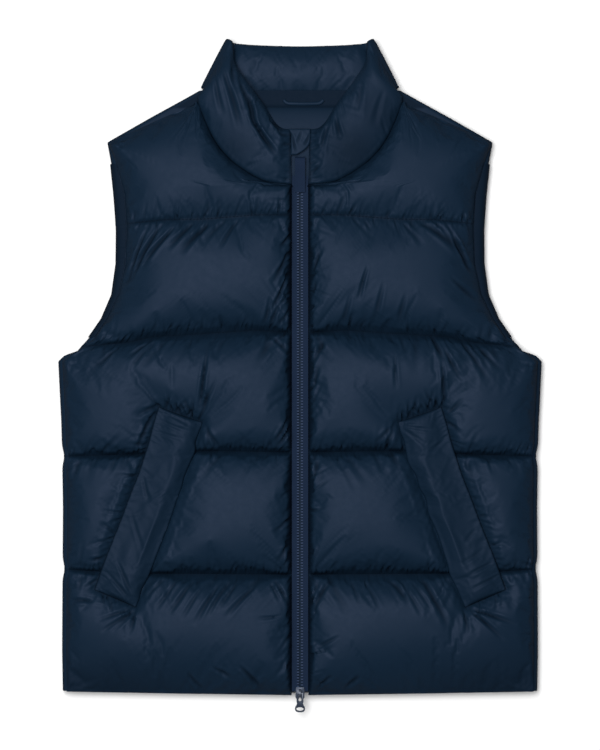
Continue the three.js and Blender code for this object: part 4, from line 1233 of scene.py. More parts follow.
@dataclass
class Collar:
    """The padded stand collar, folded flat at both sides of the neck."""

    cut: Cut
    folds: tuple[tuple[Side, Crease], ...]
    step: float = 3.0
    seed: int = 700
    seam_height: float = 26.0
    outside: float = 3.0
    inside: float = 2.5
    pad: float = 13.0
    inner_pad: float = 0.6  # the inner face's padding, as a share of the outer's
    columns: tuple[int, int] = (24, 20)  # points up the outer face and down the inner
    shadows: tuple[tuple[float, float, float, float], ...] = (
        # where the band turns away from the light: its middle, reach and shade
        (62, 258, 34, 0.55),
        (95, 300, 30, 0.35),
        (-78, 262, 26, 0.3),
    )
    back_height: float = 8.0
    fold_radius: float = 9.0
    fold_bottom: tuple[float, float] = (104.9, 329.8)
    fold_top: tuple[float, float] = (75.3, 386.5)
    fold_outward: tuple[float, float] = (0.892, 0.454)
    tops: tuple[tuple[float, float, float], ...] = (
        # the top edge over each point of the neck seam
        (10.9, 285, 27),
        (21, 286.5, 28),
        (29, 293, 29),
        (39, 308.5, 30),
        (50, 323.9, 30),
        (57, 333, 30),
        (63.1, 341.9, 29),
        (71, 353.5, 28),
        (77, 366, 27),
    )
    back: tuple[tuple[float, float, float], ...] = (
        # behind the neck: distance from the centre at the seam and at the top edge, top edge
        (84, 64, 386.2),
        (56, 45, 385),
        (28, 23, 384.2),
        (0, 0, 383.8),
    )
    run: ClothRun = field(default_factory=lambda: ClothRun(grow=0.008, pressure=4, frames=16))

    def stations(self) -> np.ndarray:
        """The wall's stations on one half: seam, top edge, direction out and padding."""
        rows = []
        for number, (seam, top) in enumerate(zip(self.cut.neck, self.tops)):
            pad = self.pad / 3 if number == 0 else self.pad
            rows.append([*seam, self.seam_height, *top, 0, 0, 1, pad])
        rows.append([117, 325, 26, 78, 379, 26, 0.3, 0.15, 0.94, 5])
        middle = self.back_height + self.fold_radius
        seam_y = float(self.cut.row_height(0, 115)) + 1.2
        for degrees in (55, 28, 0, -28, -55):
            out, rise = math.cos(math.radians(degrees)), math.sin(math.radians(degrees))
            z = middle + self.fold_radius * rise
            reach = self.fold_radius * out
            over = [value * reach for value in self.fold_outward]
            low = [self.fold_bottom[0] + over[0], max(self.fold_bottom[1] + over[1], seam_y), z]
            high = [self.fold_top[0] + over[0], self.fold_top[1] + over[1], z]
            rows.append([*low, *high, *(value * out for value in self.fold_outward), rise, 1])
        for x, top_x, top_y in self.back:
            seam = [x, float(self.cut.row_height(0, x)) + self.cut.seam_gap, self.back_height]
            rows.append([*seam, top_x, top_y, self.back_height, 0, 0, -1, self.pad])
        return np.array(rows)

    def walls(self) -> np.ndarray:
        """The stations all round, close together."""
        half = self.stations()
        mirrored = half[-2::-1] * np.array([-1, 1, 1, -1, 1, 1, -1, 1, 1, 1])
        rows = np.concatenate([half, mirrored])
        middle = (rows[:, 0:3] + rows[:, 3:6]) / 2
        steps = np.linalg.norm(np.diff(middle, axis=0), axis=1)
        along = np.concatenate([[0], np.cumsum(steps)])
        places = np.linspace(0, along[-1], int(along[-1] / self.step) | 1)
        return smooth_through(rows, along, places)

    def section(self) -> list[tuple[float, float, float]]:
        """The wall's section: share of its height, offset out and share of the padding."""
        up, down = np.linspace(0, 1, self.columns[0]), np.linspace(1, 0, self.columns[1])
        outer = [(share, self.outside, self._crown(share)) for share in up]
        rim = [(1.008, 1.6, 0), (1.008, -1, 0)]
        inner = [(share, -self.inside, -self.inner_pad * self._crown(share)) for share in down]
        return [*outer, *rim, *inner]

    @staticmethod
    def _crown(share: float) -> float:
        """The padding at a share of the height: fullest near the top edge, sloping to the seam."""
        return float(arch(share * 1.35) * arch((1 - share) * 3.2))

    def build(self, finishes: Finishes) -> None:
        """Builds the collar.

        Args:
            finishes: The vest's materials.
        """
        walls = self.walls()
        section = np.array(self.section())
        low, high, out = walls[:, None, 0:3], walls[:, None, 3:6], walls[:, None, 6:9]
        out = out / np.linalg.norm(out, axis=-1, keepdims=True)
        offset = section[None, :, 1:2] + walls[:, None, 9:10] * section[None, :, 2:3] * 0.75
        rings = mix(low, high, section[None, :, 0:1]) + out * offset
        rings[..., 2] = np.maximum(rings[..., 2], 0)
        pins = np.zeros(rings.shape[:2], bool)
        pins[[0, -1]] = True
        outer = self.columns[0]
        pins[:, [0, outer - 1, outer, outer + 1, outer + 2, -1]] = True
        pins |= (np.abs(out[..., 2]) < 0.9) & (section[None, :, 1] != 0)
        grid = self.run.puff(rings, pins, True)
        length = np.arange(rings.shape[0]) * self.step
        height = np.cumsum(np.linalg.norm(np.diff(rings[0], axis=0, prepend=rings[0][:1]), axis=-1))
        flat = np.stack(np.meshgrid(length, height, indexing="ij"), -1)
        grid, flat, cut = finer(grid, True), finer(flat), finer(rings, True)
        flat = np.concatenate([flat, flat[:, -1:]], 1)
        depth = self._crease(grid, flat, cut)
        piece = closed_body("collar_padded", grid, flat, 70)
        seam = np.minimum(flat[..., 1], np.abs(flat[..., 1] - height[outer]))
        set_value(piece, "pucker", np.exp(-seam / 14))
        set_value(piece, "rows", 0.7 * np.exp(-flat[..., 1] / 9))
        # painted shade along the folds, the seams and the band's ends
        ends = np.minimum(flat[..., 0], flat[-1, 0, 0] - flat[..., 0])
        seams = np.minimum(flat[..., 1], height[-1] - flat[..., 1])
        fold = painted_fold_shade(depth, np.minimum(seams, np.maximum(ends - 1, 0)))
        for x, y, reach, shade_most in self.shadows:
            away = np.hypot(grid[..., 0] - x, grid[..., 1] - y)
            fold = np.maximum(fold, shade_most * bell(away / reach))
        set_value(piece, "fold", fold)
        dress(piece, finishes.nylon, "nylon", BODY, "collar")

    def _crease(self, grid: np.ndarray, flat: np.ndarray, cut: np.ndarray) -> np.ndarray:
        """Presses the folds and gathers into the collar's wall, and returns their depths."""
        outer = np.zeros(grid.shape[:2], bool)
        outer[:, : 2 * self.columns[0]] = True
        depth = np.zeros(grid.shape[:2])
        for side, fold in self.folds:
            found = np.zeros(grid.shape[:2])
            fold.carve(found, cut[..., 0] * side.value, cut[..., 1])
            depth += found * outer * (cut[..., 2] > 18)
        last = flat[-1, 0, 0]
        top = flat[0, 2 * self.columns[0] - 2, 1]
        seam = [(0.0, 0.0), (last, 0.0)]
        edge = [(0.0, top), (last, top)]
        whole = flat[0, -1, 1]
        inner_edge = [(0.0, top + 6), (last, top + 6)]
        inner_seam = [(0.0, whole), (last, whole)]
        sets = (
            (seam, 1, 5, 0.1, (5, 22), (1.3, 2.2), (0.2, 0.9)),
            (edge, -1, 7, 0.1, (5, 26), (1.2, 2.2), (0.2, 0.9)),
            (inner_edge, 1, 17, 0.9, (10, 34), (1.6, 3.0), (0.2, 0.9)),
            (inner_seam, -1, 9, 0.4, (5, 16), (1.4, 2.4), (0.1, 0.6)),
            ([(0.0, 4.0), (0.0, top - 4)], -1, 5, 0.2, (8, 30), (1.2, 2.2), (0.5, 1.8)),
            ([(last, 4.0), (last, top - 4)], 1, 5, 0.2, (8, 30), (1.2, 2.2), (0.5, 1.8)),
        )
        for number, shape in enumerate(sets):
            Gathers(*shape, self.seed + number).carve(depth, flat[..., 0], flat[..., 1])
        ends = np.minimum(flat[..., 0], last - flat[..., 0])
        near = np.minimum(np.abs(flat[..., 1]), np.abs(flat[..., 1] - top))
        free = np.clip(near / 3, 0, 1) * np.clip(ends / 4, 0, 1)
        out = normals_of(grid, True)
        middle = grid.mean(1, keepdims=True)
        turn = np.sign(((grid - middle) * out).sum(-1).mean())
        grid += out * (-turn * depth * free)[..., None]
        grid[..., 2] = np.maximum(grid[..., 2], 0)
        return depth


@dataclass
class Welt:
    """A slanted, padded pocket welt: stitched down on three sides, with a free fold to the zip."""

    side: Side
    front: FrontPanel
    seed: int
    rows: int = 80
    columns: int = 18
    thickness: float = 12.5
    edge: float = 3.5
    clear: float = 0.5
    # painted shade that darkens the whole welt at least this much
    shade: float = 0.16
    span: tuple[float, float] = (0.05, 0.17)
    size: tuple[float, float] = (228.0, 52.0)  # along its length and across
    run: ClothRun = field(default_factory=lambda: ClothRun(grow=0.003, pressure=2, frames=12))

    def place(self, length: np.ndarray, across: np.ndarray) -> tuple[np.ndarray, np.ndarray]:
        """A point of the welt's cut, from its top end down and from its side edge across."""
        side, front = np.array(self.front.cut.welt_side), np.array(self.front.cut.welt_front)
        steps = np.linspace(0, 1, len(side))
        near = [np.interp(length, steps, side[:, axis]) for axis in (0, 1)]
        far = [np.interp(length, steps, front[:, axis]) for axis in (0, 1)]
        return mix(near[0], far[0], across), mix(near[1], far[1], across)

    def base(self, length: np.ndarray, across: np.ndarray) -> np.ndarray:
        """The underside's height, which bridges the quilt lines under it."""
        highest = np.zeros(np.broadcast_shapes(np.shape(length), np.shape(across)))
        for step_length in (-2, -1, 0, 1, 2):
            for step_across in (-1, 0, 1):
                x, y = self.place(
                    np.clip(length + step_length * self.span[0], 0, 1),
                    np.clip(across + step_across * self.span[1], 0, 1),
                )
                highest = np.maximum(highest, self.front.height(x, y))
        return highest + self.clear

    def build(self, finishes: Finishes) -> None:
        """Builds the welt.

        Args:
            finishes: The vest's materials.
        """
        length = np.linspace(0, 1, self.rows)[:, None]
        across = np.linspace(0, 1, self.columns)[None]
        x, y = self.place(length, across)
        x = x - 0.9 * Ruffle(self.seed + 9, 17)(self.size[0] * length) * across * arch(length * 9)
        base = self.base(length, across)
        rise = np.sin(np.pi / 2 * np.minimum(np.minimum(across * 1.7, (1 - across) * 2.8), 1))
        rise = rise * arch(np.minimum(length, 1 - length) * 12)
        top = base + self.edge + (self.thickness - self.edge) * 0.8 * rise
        upper = np.stack([x, y, top], -1)
        lower = np.stack([x, y, base], -1)[:, ::-1]
        rings = np.concatenate([upper, lower], 1)
        pins = np.zeros(rings.shape[:2], bool)
        pins[[0, -1]] = True
        pins[:, 0] = True
        pins[:, self.columns + 1 :] = True
        grid = self.run.puff(rings, pins, True)
        flat = np.stack(np.broadcast_arrays(self.size[0] * length, self.size[1] * across), -1)
        flat = np.concatenate([flat, flat[:, ::-1] + (0, self.size[1] + 8)], 1)
        grid, flat = finer(grid, True), finer(flat)
        flat = np.concatenate([flat, flat[:, -1:]], 1)
        depth = self._crease(grid, flat)
        name = self.side.name.lower()
        piece = closed_body(f"welt_{name}", grid * (self.side.value, 1, 1), flat, 65)
        ends = np.minimum(flat[..., 0], self.size[0] - flat[..., 0])
        set_value(piece, "pucker", np.exp(-np.minimum(ends, flat[..., 1]) / 14))
        set_value(piece, "rows", 0.8 * np.exp(-flat[..., 1] / 8))
        set_value(piece, "sides", 0.8 * np.exp(-ends / 8))
        # painted shade in the folds and along the stitched edges, and over the whole welt
        fold = painted_fold_shade(depth, np.minimum(ends, flat[..., 1]))
        set_value(piece, "fold", np.maximum(fold, self.shade))
        dress(piece, finishes.nylon, "nylon", BODY, f"pocket_welt_{name}")

    def _crease(self, grid: np.ndarray, flat: np.ndarray) -> np.ndarray:
        """Presses the placed folds and the gathers into the welt's upper face, and returns their depths."""
        depth = np.zeros(grid.shape[:2])
        for fold in self.front.drape.welt_folds:
            fold.carve(depth, grid[..., 0], grid[..., 1])
        long, wide = self.size
        sets = (
            ([(0.0, 0.0), (long, 0.0)], 1, 6, 0.4, (5, 22), (1.2, 2.0), (0.2, 0.8)),
            ([(0.0, wide), (long, wide)], -1, 9, -0.5, (6, 22), (1.2, 2.2), (0.2, 0.7)),
            ([(2.0, 0.0), (2.0, wide)], -1, 5, 0.2, (6, 26), (1.2, 2.0), (0.2, 0.8)),
            ([(long - 2, 0.0), (long - 2, wide)], 1, 5, 0.2, (6, 26), (1.2, 2.0), (0.2, 0.8)),
        )
        for number, shape in enumerate(sets):
            Gathers(*shape, self.seed + number).carve(depth, flat[..., 0], flat[..., 1])
        free = np.clip(flat[..., 1] / 3, 0, 1) * (flat[..., 1] < wide + 4)
        free *= np.clip(np.minimum(flat[..., 0], long - flat[..., 0]) / 3, 0, 1)
        grid[..., 2] -= depth * free
        return depth


@dataclass
class ArmholeFacing:
    """The thin strip that rolls over the back's armhole edge."""

    side: Side
    cut: Cut
    back: BackPanel
    first: float = 0.55
    last: float = 1.93
    clear: float = 0.6
    thickness: float = 1.1
    inner_gap: float = 1.0
    # painted shade over the whole strip
    shade: float = 0.75
    turn: tuple[tuple[float, float, float, float], ...] = (
        # distance in from the outline, share of the back's height, direction out in X and Z
        (5.4, 1, 0.2, 1),
        (3.2, 0.94, 0.45, 0.87),
        (1.4, 0.83, 0.8, 0.6),
        (0.4, 0.7, 0.96, 0.28),
        (0, 0.55, 1, 0),
    )

    def build(self, finishes: Finishes) -> None:
        """Builds the strip.

        Args:
            finishes: The vest's materials.
        """
        levels = np.linspace(self.first, self.last, 110)
        end, front = self.cut.row_end(levels, 1), self.cut.row_end(levels, 2)
        ruffle = Ruffle(810 + self.side.value, 3.0)
        layers = []
        for offset in (self.clear + self.thickness, self.clear):
            gap = np.maximum(end - front - self.inner_gap, self.turn[0][0] + 1.2)
            x = end - gap
            y = self.cut.row_height(levels, x)
            wave = 0.35 * ruffle(y) * (offset > self.clear)
            columns = [np.stack([x, y, self.back.top + offset + wave], -1)]
            for inset, share, out_x, out_z in self.turn:
                x = end - inset
                y = self.cut.row_height(levels, x)
                z = mix(self.back.under(x, y), self.back.top, share)
                columns.append(np.stack([x + out_x * offset, y, z + out_z * (offset + wave)], -1))
            layers.append(np.stack(columns, 1))
        rings = np.concatenate([layers[0], layers[1][:, ::-1]], 1)
        name = self.side.name.lower()
        piece = closed_body(f"facing_{name}", rings * (self.side.value, 1, 1), rings[..., :2], 65)
        set_value(piece, "pucker", np.ones(rings.shape[:2]))
        # painted shade: the strip is darkened all over
        set_value(piece, "fold", np.full(rings.shape[:2], self.shade))
        dress(piece, finishes.nylon, "nylon", BODY, f"armhole_facing_{name}")


@dataclass
class Zip:
    """The two-way zip: woven tapes, two rows of moulded teeth, sliders and tab."""

    top: float = 284.0
    bottom: float = -371.0
    tape_inner: float = 3.0
    tape_outer: float = 9.45
    tape_low: float = 25.6
    tape_high: float = 26.8
    pitch: float = 3.3
    teeth_top: float = 250.0
    teeth_bottom: float = -366.0

    def build(self, finishes: Finishes) -> None:
        """Builds the zip.

        Args:
            finishes: The vest's materials.
        """
        for side in Side:
            self._tape(side, finishes)
        self._teeth(finishes)
        hard = (
            ("slider_top", "top_slider", BODY, finishes.metal, "zip_metal", 0.22),
            ("slider_bottom", "bottom_slider", BODY, finishes.metal, "zip_metal", 0.22),
            ("pull_tab", "tab_pull", "tab", finishes.metal, "zip_metal", 0.25),
        )
        for node, name, body, material, slot, width in hard:
            piece = refined_copy(node, name, width)
            dress(piece, material, slot, body, node)

    def _tape(self, side: Side, finishes: Finishes) -> None:
        """Builds the woven tape of one side."""
        y = np.arange(self.top, self.bottom, -4.0)
        wave = 0.18 * Ruffle(820 + side.value, 9)(y)
        across = np.linspace(self.tape_inner, self.tape_outer, 7)
        upper = np.stack(np.broadcast_arrays(
            across, y[:, None], self.tape_high + wave[:, None] * np.linspace(0, 1, 7)), -1)
        lower = (upper - (0, 0, self.tape_high - self.tape_low))[:, ::-1]
        rings = np.concatenate([upper, lower], 1)
        name = side.name.lower()
        piece = closed_body(f"tape_{name}", rings * (side.value, 1, 1), rings[..., :2], 45)
        dress(piece, finishes.tape, "zip_tape", BODY, f"zip_tape_{name}")

    def _teeth(self, finishes: Finishes) -> None:
        """Builds one moulded tooth and repeats it along both rows."""
        bpy.ops.object.select_all(action="DESELECT")
        y = self.teeth_top * MM
        bpy.ops.mesh.primitive_cube_add(size=1, location=(2.35 * MM, y, 26.2 * MM))
        tooth = bpy.context.object
        tooth.name = "zip_teeth_row"
        tooth.scale = (2.7 * MM, 1.75 * MM, 3.0 * MM)
        bpy.ops.object.transform_apply(location=True, rotation=False, scale=True)
        bpy.ops.object.mode_set(mode="EDIT")
        bpy.ops.mesh.select_all(action="DESELECT")
        shape = bmesh.from_edit_mesh(tooth.data)
        for face in shape.faces:
            face.select_set(face.normal.x < -0.9)
        bmesh.update_edit_mesh(tooth.data)
        bpy.ops.mesh.extrude_region_move(TRANSFORM_OT_translate={"value": (-0.55 * MM, 0, 0)})
        bpy.ops.transform.resize(value=(1, 0.62, 0.8))
        bpy.ops.mesh.extrude_region_move(TRANSFORM_OT_translate={"value": (-1.15 * MM, 0, 0)})
        bpy.ops.transform.resize(value=(1, 1.35, 1))
        bpy.ops.mesh.select_all(action="SELECT")
        bpy.ops.mesh.bevel(offset=0.22 * MM, segments=1)
        bpy.ops.object.mode_set(mode="OBJECT")
        repeat = tooth.modifiers.new("Rows", "ARRAY")
        repeat.use_relative_offset = False
        repeat.use_constant_offset = True
        repeat.constant_offset_displace = (0, -self.pitch * MM, 0)
        repeat.count = int((self.teeth_top - self.teeth_bottom) / self.pitch)
        bpy.ops.object.modifier_apply(modifier=repeat.name)
        other = tooth.copy()
        other.data = tooth.data.copy()
        bpy.context.scene.collection.objects.link(other)
        flipped = np.empty(len(other.data.vertices) * 3, np.float32)
        other.data.vertices.foreach_get("co", flipped)
        flipped = flipped.reshape(-1, 3) * (-1, 1, 1) - (0, self.pitch / 2 * MM, 0)
        other.data.vertices.foreach_set("co", flipped.astype(np.float32).ravel())
        pick(tooth)
        other.select_set(True)
        bpy.ops.object.join()
        turn_out(tooth)
        shade(tooth, 40)
        dress(tooth, finishes.teeth, "zip_teeth", BODY, "zip_chain")


def refined_copy(node: str, name: str, width: float) -> bpy.types.Object:
    """A merged copy of a solid with its sharp edges rounded.

    Args:
        node: The solid.
        name: The copy's name.
        width: The width of the rounded edges, in millimetres.

    Returns:
        The copy.
    """
    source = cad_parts[node]
    piece = bpy.data.objects.new(name, source.data.copy())
    bpy.context.scene.collection.objects.link(piece)
    shape = bmesh.new()
    shape.from_mesh(piece.data)
    bmesh.ops.remove_doubles(shape, verts=shape.verts, dist=1e-6)
    bmesh.ops.dissolve_limit(
        shape, angle_limit=math.radians(2), verts=shape.verts, edges=shape.edges, use_dissolve_boundaries=False
    )
    shape.to_mesh(piece.data)
    shape.free()
    pick(piece)
    bevel = piece.modifiers.new("Rounded", "BEVEL")
    bevel.width = width * MM
    bevel.segments = 3
    bevel.limit_method = "ANGLE"
    bevel.angle_limit = math.radians(35)
    bpy.ops.object.modifier_apply(modifier=bevel.name)
    shade(piece, 35)
    return piece


@dataclass
class SmallCloth:
    """The zip garage, the ribbon puller and the hanger loop."""

    garage_low: float = 33.6
    garage_thickness: float = 2.2
    # painted shade over the whole garage
    garage_painted_shade: float = 0.1
    garage_folds: tuple[Crease, ...] = (
        Crease(-10, 282, -4, 259, 1.3, 0.7),
        Crease(1, 285, -3, 268, 1.3, 0.5),
        Crease(12, 281, 4, 266, 1.3, 0.7),
    )
    ribbon_half: float = 5.8
    ribbon_thickness: float = 1.3
    ribbon_path: tuple[tuple[float, float], ...] = (
        # height on the vest and over the floor, from behind the slider over it and down the chain
        (252.3, 30.2),
        (252.4, 33.5),
        (251.6, 35.2),
        (249.6, 35.9),
        (245, 35.9),
        (241, 35.1),
        (235, 33.4),
        (229, 31.9),
        (223, 30.7),
        (217, 29.7),
        (212.5, 29.3),
    )

    def build(self, finishes: Finishes) -> None:
        """Builds the three small pieces.

        Args:
            finishes: The vest's materials.
        """
        self._garage(finishes)
        self._ribbon(finishes)
        self._hanger(finishes)

    def _garage(self, finishes: Finishes) -> None:
        """Builds the folded patch that covers the zip's top end."""
        y = np.linspace(285.6, 255.4, 40)
        share = (285.6 - y) / 30.2
        left = np.where(share < 0.2, mix(-13.2, -10.2, np.clip(share / 0.2, 0, 1)), -10.2 - 0.4 * share)
        right = 12.4 - 1.6 * share - 15.5 * np.clip((share - 0.45) / 0.55, 0, 1) ** 2.2
        columns = np.linspace(0, 1, 26)
        x = left[:, None] + (right - left)[:, None] * columns
        edge = np.minimum(np.minimum(x - left[:, None], right[:, None] - x) / 3.2,
                          np.minimum(share, 1 - share)[:, None] * 30 / 3.2)
        wave = 0.3 * Ruffle(830, 4)(x * 0.8 + y[:, None] * 0.9)
        depth = np.zeros(x.shape)
        grid_y = np.broadcast_to(y[:, None], x.shape)
        for fold in self.garage_folds:
            fold.carve(depth, x, grid_y)
        wave = wave - depth
        top = self.garage_low + self.garage_thickness * (0.55 + 0.45 * arch(edge)) + wave * arch(edge)
        upper = np.stack([x, grid_y, np.maximum(top, self.garage_low + 0.6)], -1)
        lower = np.stack([x, grid_y, np.full(x.shape, self.garage_low)], -1)[:, ::-1]
        rings = np.concatenate([upper, lower], 1)
        piece = closed_body("garage", rings, rings[..., :2], 60)
        set_value(piece, "pucker", np.full(rings.shape[:2], 0.6))
        # painted shade in the garage's folds and over all of it
        shade = np.clip(depth + self.garage_painted_shade, 0, 1)
        set_value(piece, "fold", np.concatenate([shade, shade], 1))
        dress(piece, finishes.nylon, "nylon", BODY, "zip_garage")

    def _ribbon(self, finishes: Finishes) -> None:
        """Builds the ribbon over the upper slider's bridge."""
        path = np.array(self.ribbon_path)
        along = np.concatenate([[0], np.cumsum(np.hypot(*np.diff(path, axis=0).T))])
        places = np.linspace(0, along[-1], 60)
        route = smooth_through(path, along, places)
        across = np.linspace(-self.ribbon_half, self.ribbon_half, 9)
        slope = np.gradient(route, axis=0)
        slope /= np.linalg.norm(slope, axis=1, keepdims=True)
        out = np.stack([slope[:, 1], -slope[:, 0]], -1)
        out *= np.sign(out[-1, 1])
        curl = 0.25 * (across / self.ribbon_half) ** 2
        layers = []
        for offset in (self.ribbon_thickness / 2, -self.ribbon_thickness / 2):
            edge = route[:, None] + out[:, None] * (offset + curl[None, :, None])
            x = np.broadcast_to(across, edge.shape[:2])
            layers.append(np.stack([x, edge[..., 0], edge[..., 1]], -1))
        rings = np.concatenate([layers[0], layers[1][:, ::-1]], 1)
        flat = np.stack([rings[..., 0], np.broadcast_to(places[:, None], rings.shape[:2])], -1)
        piece = closed_body("ribbon", rings, flat, 50)
        dress(piece, finishes.tape, "zip_tape", BODY, "ribbon_pull")

    def _hanger(self, finishes: Finishes) -> None:
        """Builds the rolled fabric loop behind the neck."""
        piece = refined_copy("hanger_loop", "hanger", 0.3)
        layer = piece.data.uv_layers.new(name="Cut")
        layer.data.foreach_set("uv", np.zeros(len(piece.data.loops) * 2, np.float32))
        set_value(piece, "pucker", np.full(len(piece.data.vertices), 0.4))
        dress(piece, finishes.nylon, "nylon", BODY, "hanger_loop")


@dataclass
class Topstitching:
    """The sewn lines: one thread stitch, repeated along every quilt line of the fronts and the back."""

    cut: Cut
    fronts: tuple[FrontPanel, FrontPanel]
    back: BackPanel
    pitch: float = 4.2
    length: float = 2.8
    half: float = 0.32
    proud: float = 0.12
    margin: float = 4.0

    def build(self, finishes: Finishes) -> None:
        """Builds all the stitches as one piece.

        Args:
            finishes: The vest's materials.
        """
        runs = []
        for line in range(1, 5):
            for front in self.fronts:
                end = float(self.cut.row_end(np.array([float(line)]), 2)[0]) - self.margin
                x = np.arange(self.cut.zip_half_gap + self.margin, end, self.pitch)
                y = self.cut.line_height(line, x)
                keep = ~self.cut.under_welt(x, y)
                z = front.height(x, y) + self.proud
                runs.append(np.stack([x * front.side.value, y, z], -1)[keep])
            end = float(self.cut.row_end(np.array([float(line)]), 1)[0]) - 3 * self.margin
            x = np.arange(-end, end, self.pitch)
            y = self.cut.line_height(line, np.abs(x))
            runs.append(np.stack([x, y, self.back.under(np.abs(x), y) - self.proud], -1))
        places = np.concatenate(runs)
        shape = self._stitch()
        points = (places[:, None] + shape[None]).reshape(-1, 3)
        count = len(shape)
        faces = [
            tuple(corner + number * count for corner in face)
            for number in range(len(places))
            for face in self._faces()
        ]
        piece = make_object("topstitching", points, faces)
        turn_out(piece)
        shade(piece, 60)
        layer = piece.data.uv_layers.new(name="Cut")
        layer.data.foreach_set("uv", np.zeros(len(piece.data.loops) * 2, np.float32))
        # painted shade: the stitches take the full darkening of the seam they sit in
        set_value(piece, "fold", np.ones(len(points)))
        dress(piece, finishes.nylon, "nylon", BODY)

    def _stitch(self) -> np.ndarray:
        """A stitch's corners: two square rings and two tips."""
        ring = [(0, self.half), (self.half, 0), (0, -self.half), (-self.half, 0)]
        rings = [(x, y, z) for x in (-0.3 * self.length, 0.3 * self.length) for y, z in ring]
        return np.array([*rings, (-0.5 * self.length, 0, 0), (0.5 * self.length, 0, 0)])

    @staticmethod
    def _faces() -> list[tuple[int, ...]]:
        """The stitch's faces, as corners of its mesh."""
        sides = [(i, (i + 1) % 4, 4 + (i + 1) % 4, 4 + i) for i in range(4)]
        tips = [((i + 1) % 4, i, 8) for i in range(4)] + [(4 + i, 4 + (i + 1) % 4, 9) for i in range(4)]
        return sides + tips


@dataclass
class Stage:
    """The pale floor, the soft light and the camera over the vest."""

    pixel: float = 0.001162  # what a pixel of the 600 by 750 frame covers at the vest
    frame_height: int = 750
    distance: float = 3.2
    sensor: float = 24.0
    vest_height: float = 0.03

    def build(self) -> None:
        """Builds the floor, the lights and the camera."""
        self._floor()
        self._camera()
        self._light("key", (-0.34, 0.26, 2.7), 1.4, 94)
        world = bpy.data.worlds.new("studio")
        bpy.context.scene.world = world
        world.use_nodes = True
        ground = world.node_tree.nodes["Background"]
        ground.inputs["Color"].default_value = (1, 1, 1, 1)
        ground.inputs["Strength"].default_value = 0.13
        bpy.context.scene.view_settings.view_transform = "Standard"

    def _floor(self) -> None:
        """A large pale floor just under the vest."""
        bpy.ops.object.select_all(action="DESELECT")
        bpy.ops.mesh.primitive_plane_add(size=12, location=(0, 0, -0.0004))
        floor = bpy.context.object
        floor.name = "floor"
        graph = Graph("pale_floor")
        place = graph.node("ShaderNodeTexCoord", {}, {}, "Object")
        cloud = graph.node("ShaderNodeTexNoise", {}, {"Vector": place, "Scale": 2})
        colour = graph.blend(cloud, (0.93, 0.93, 0.93), (0.95, 0.95, 0.95))
        inputs = {"Base Color": colour, "Roughness": 0.9, "Specular IOR Level": 0.1}
        floor.data.materials.append(graph.finish(graph.node("ShaderNodeBsdfPrincipled", {}, inputs)))
        floor.visible_glossy = False

    def _camera(self) -> None:
        """A camera that looks straight down with the collar at the top."""
        data = bpy.data.cameras.new("camera")
        camera = bpy.data.objects.new("camera", data)
        bpy.context.scene.collection.objects.link(camera)
        camera.location = (0, 0, self.distance)
        data.sensor_fit = "VERTICAL"
        data.sensor_height = self.sensor
        covered = self.pixel * self.frame_height
        data.lens = self.sensor * (self.distance - self.vest_height) / covered
        bpy.context.scene.camera = camera

    @staticmethod
    def _light(name: str, place: tuple[float, float, float], size: float, watts: float) -> None:
        """A square soft light that points at the vest."""
        data = bpy.data.lights.new(name, "AREA")
        data.size = size
        data.energy = watts
        light = bpy.data.objects.new(name, data)
        bpy.context.scene.collection.objects.link(light)
        light.location = place
        light.visible_camera = False
        light.rotation_euler = (-Vector(place)).to_track_quat("-Z", "Y").to_euler()


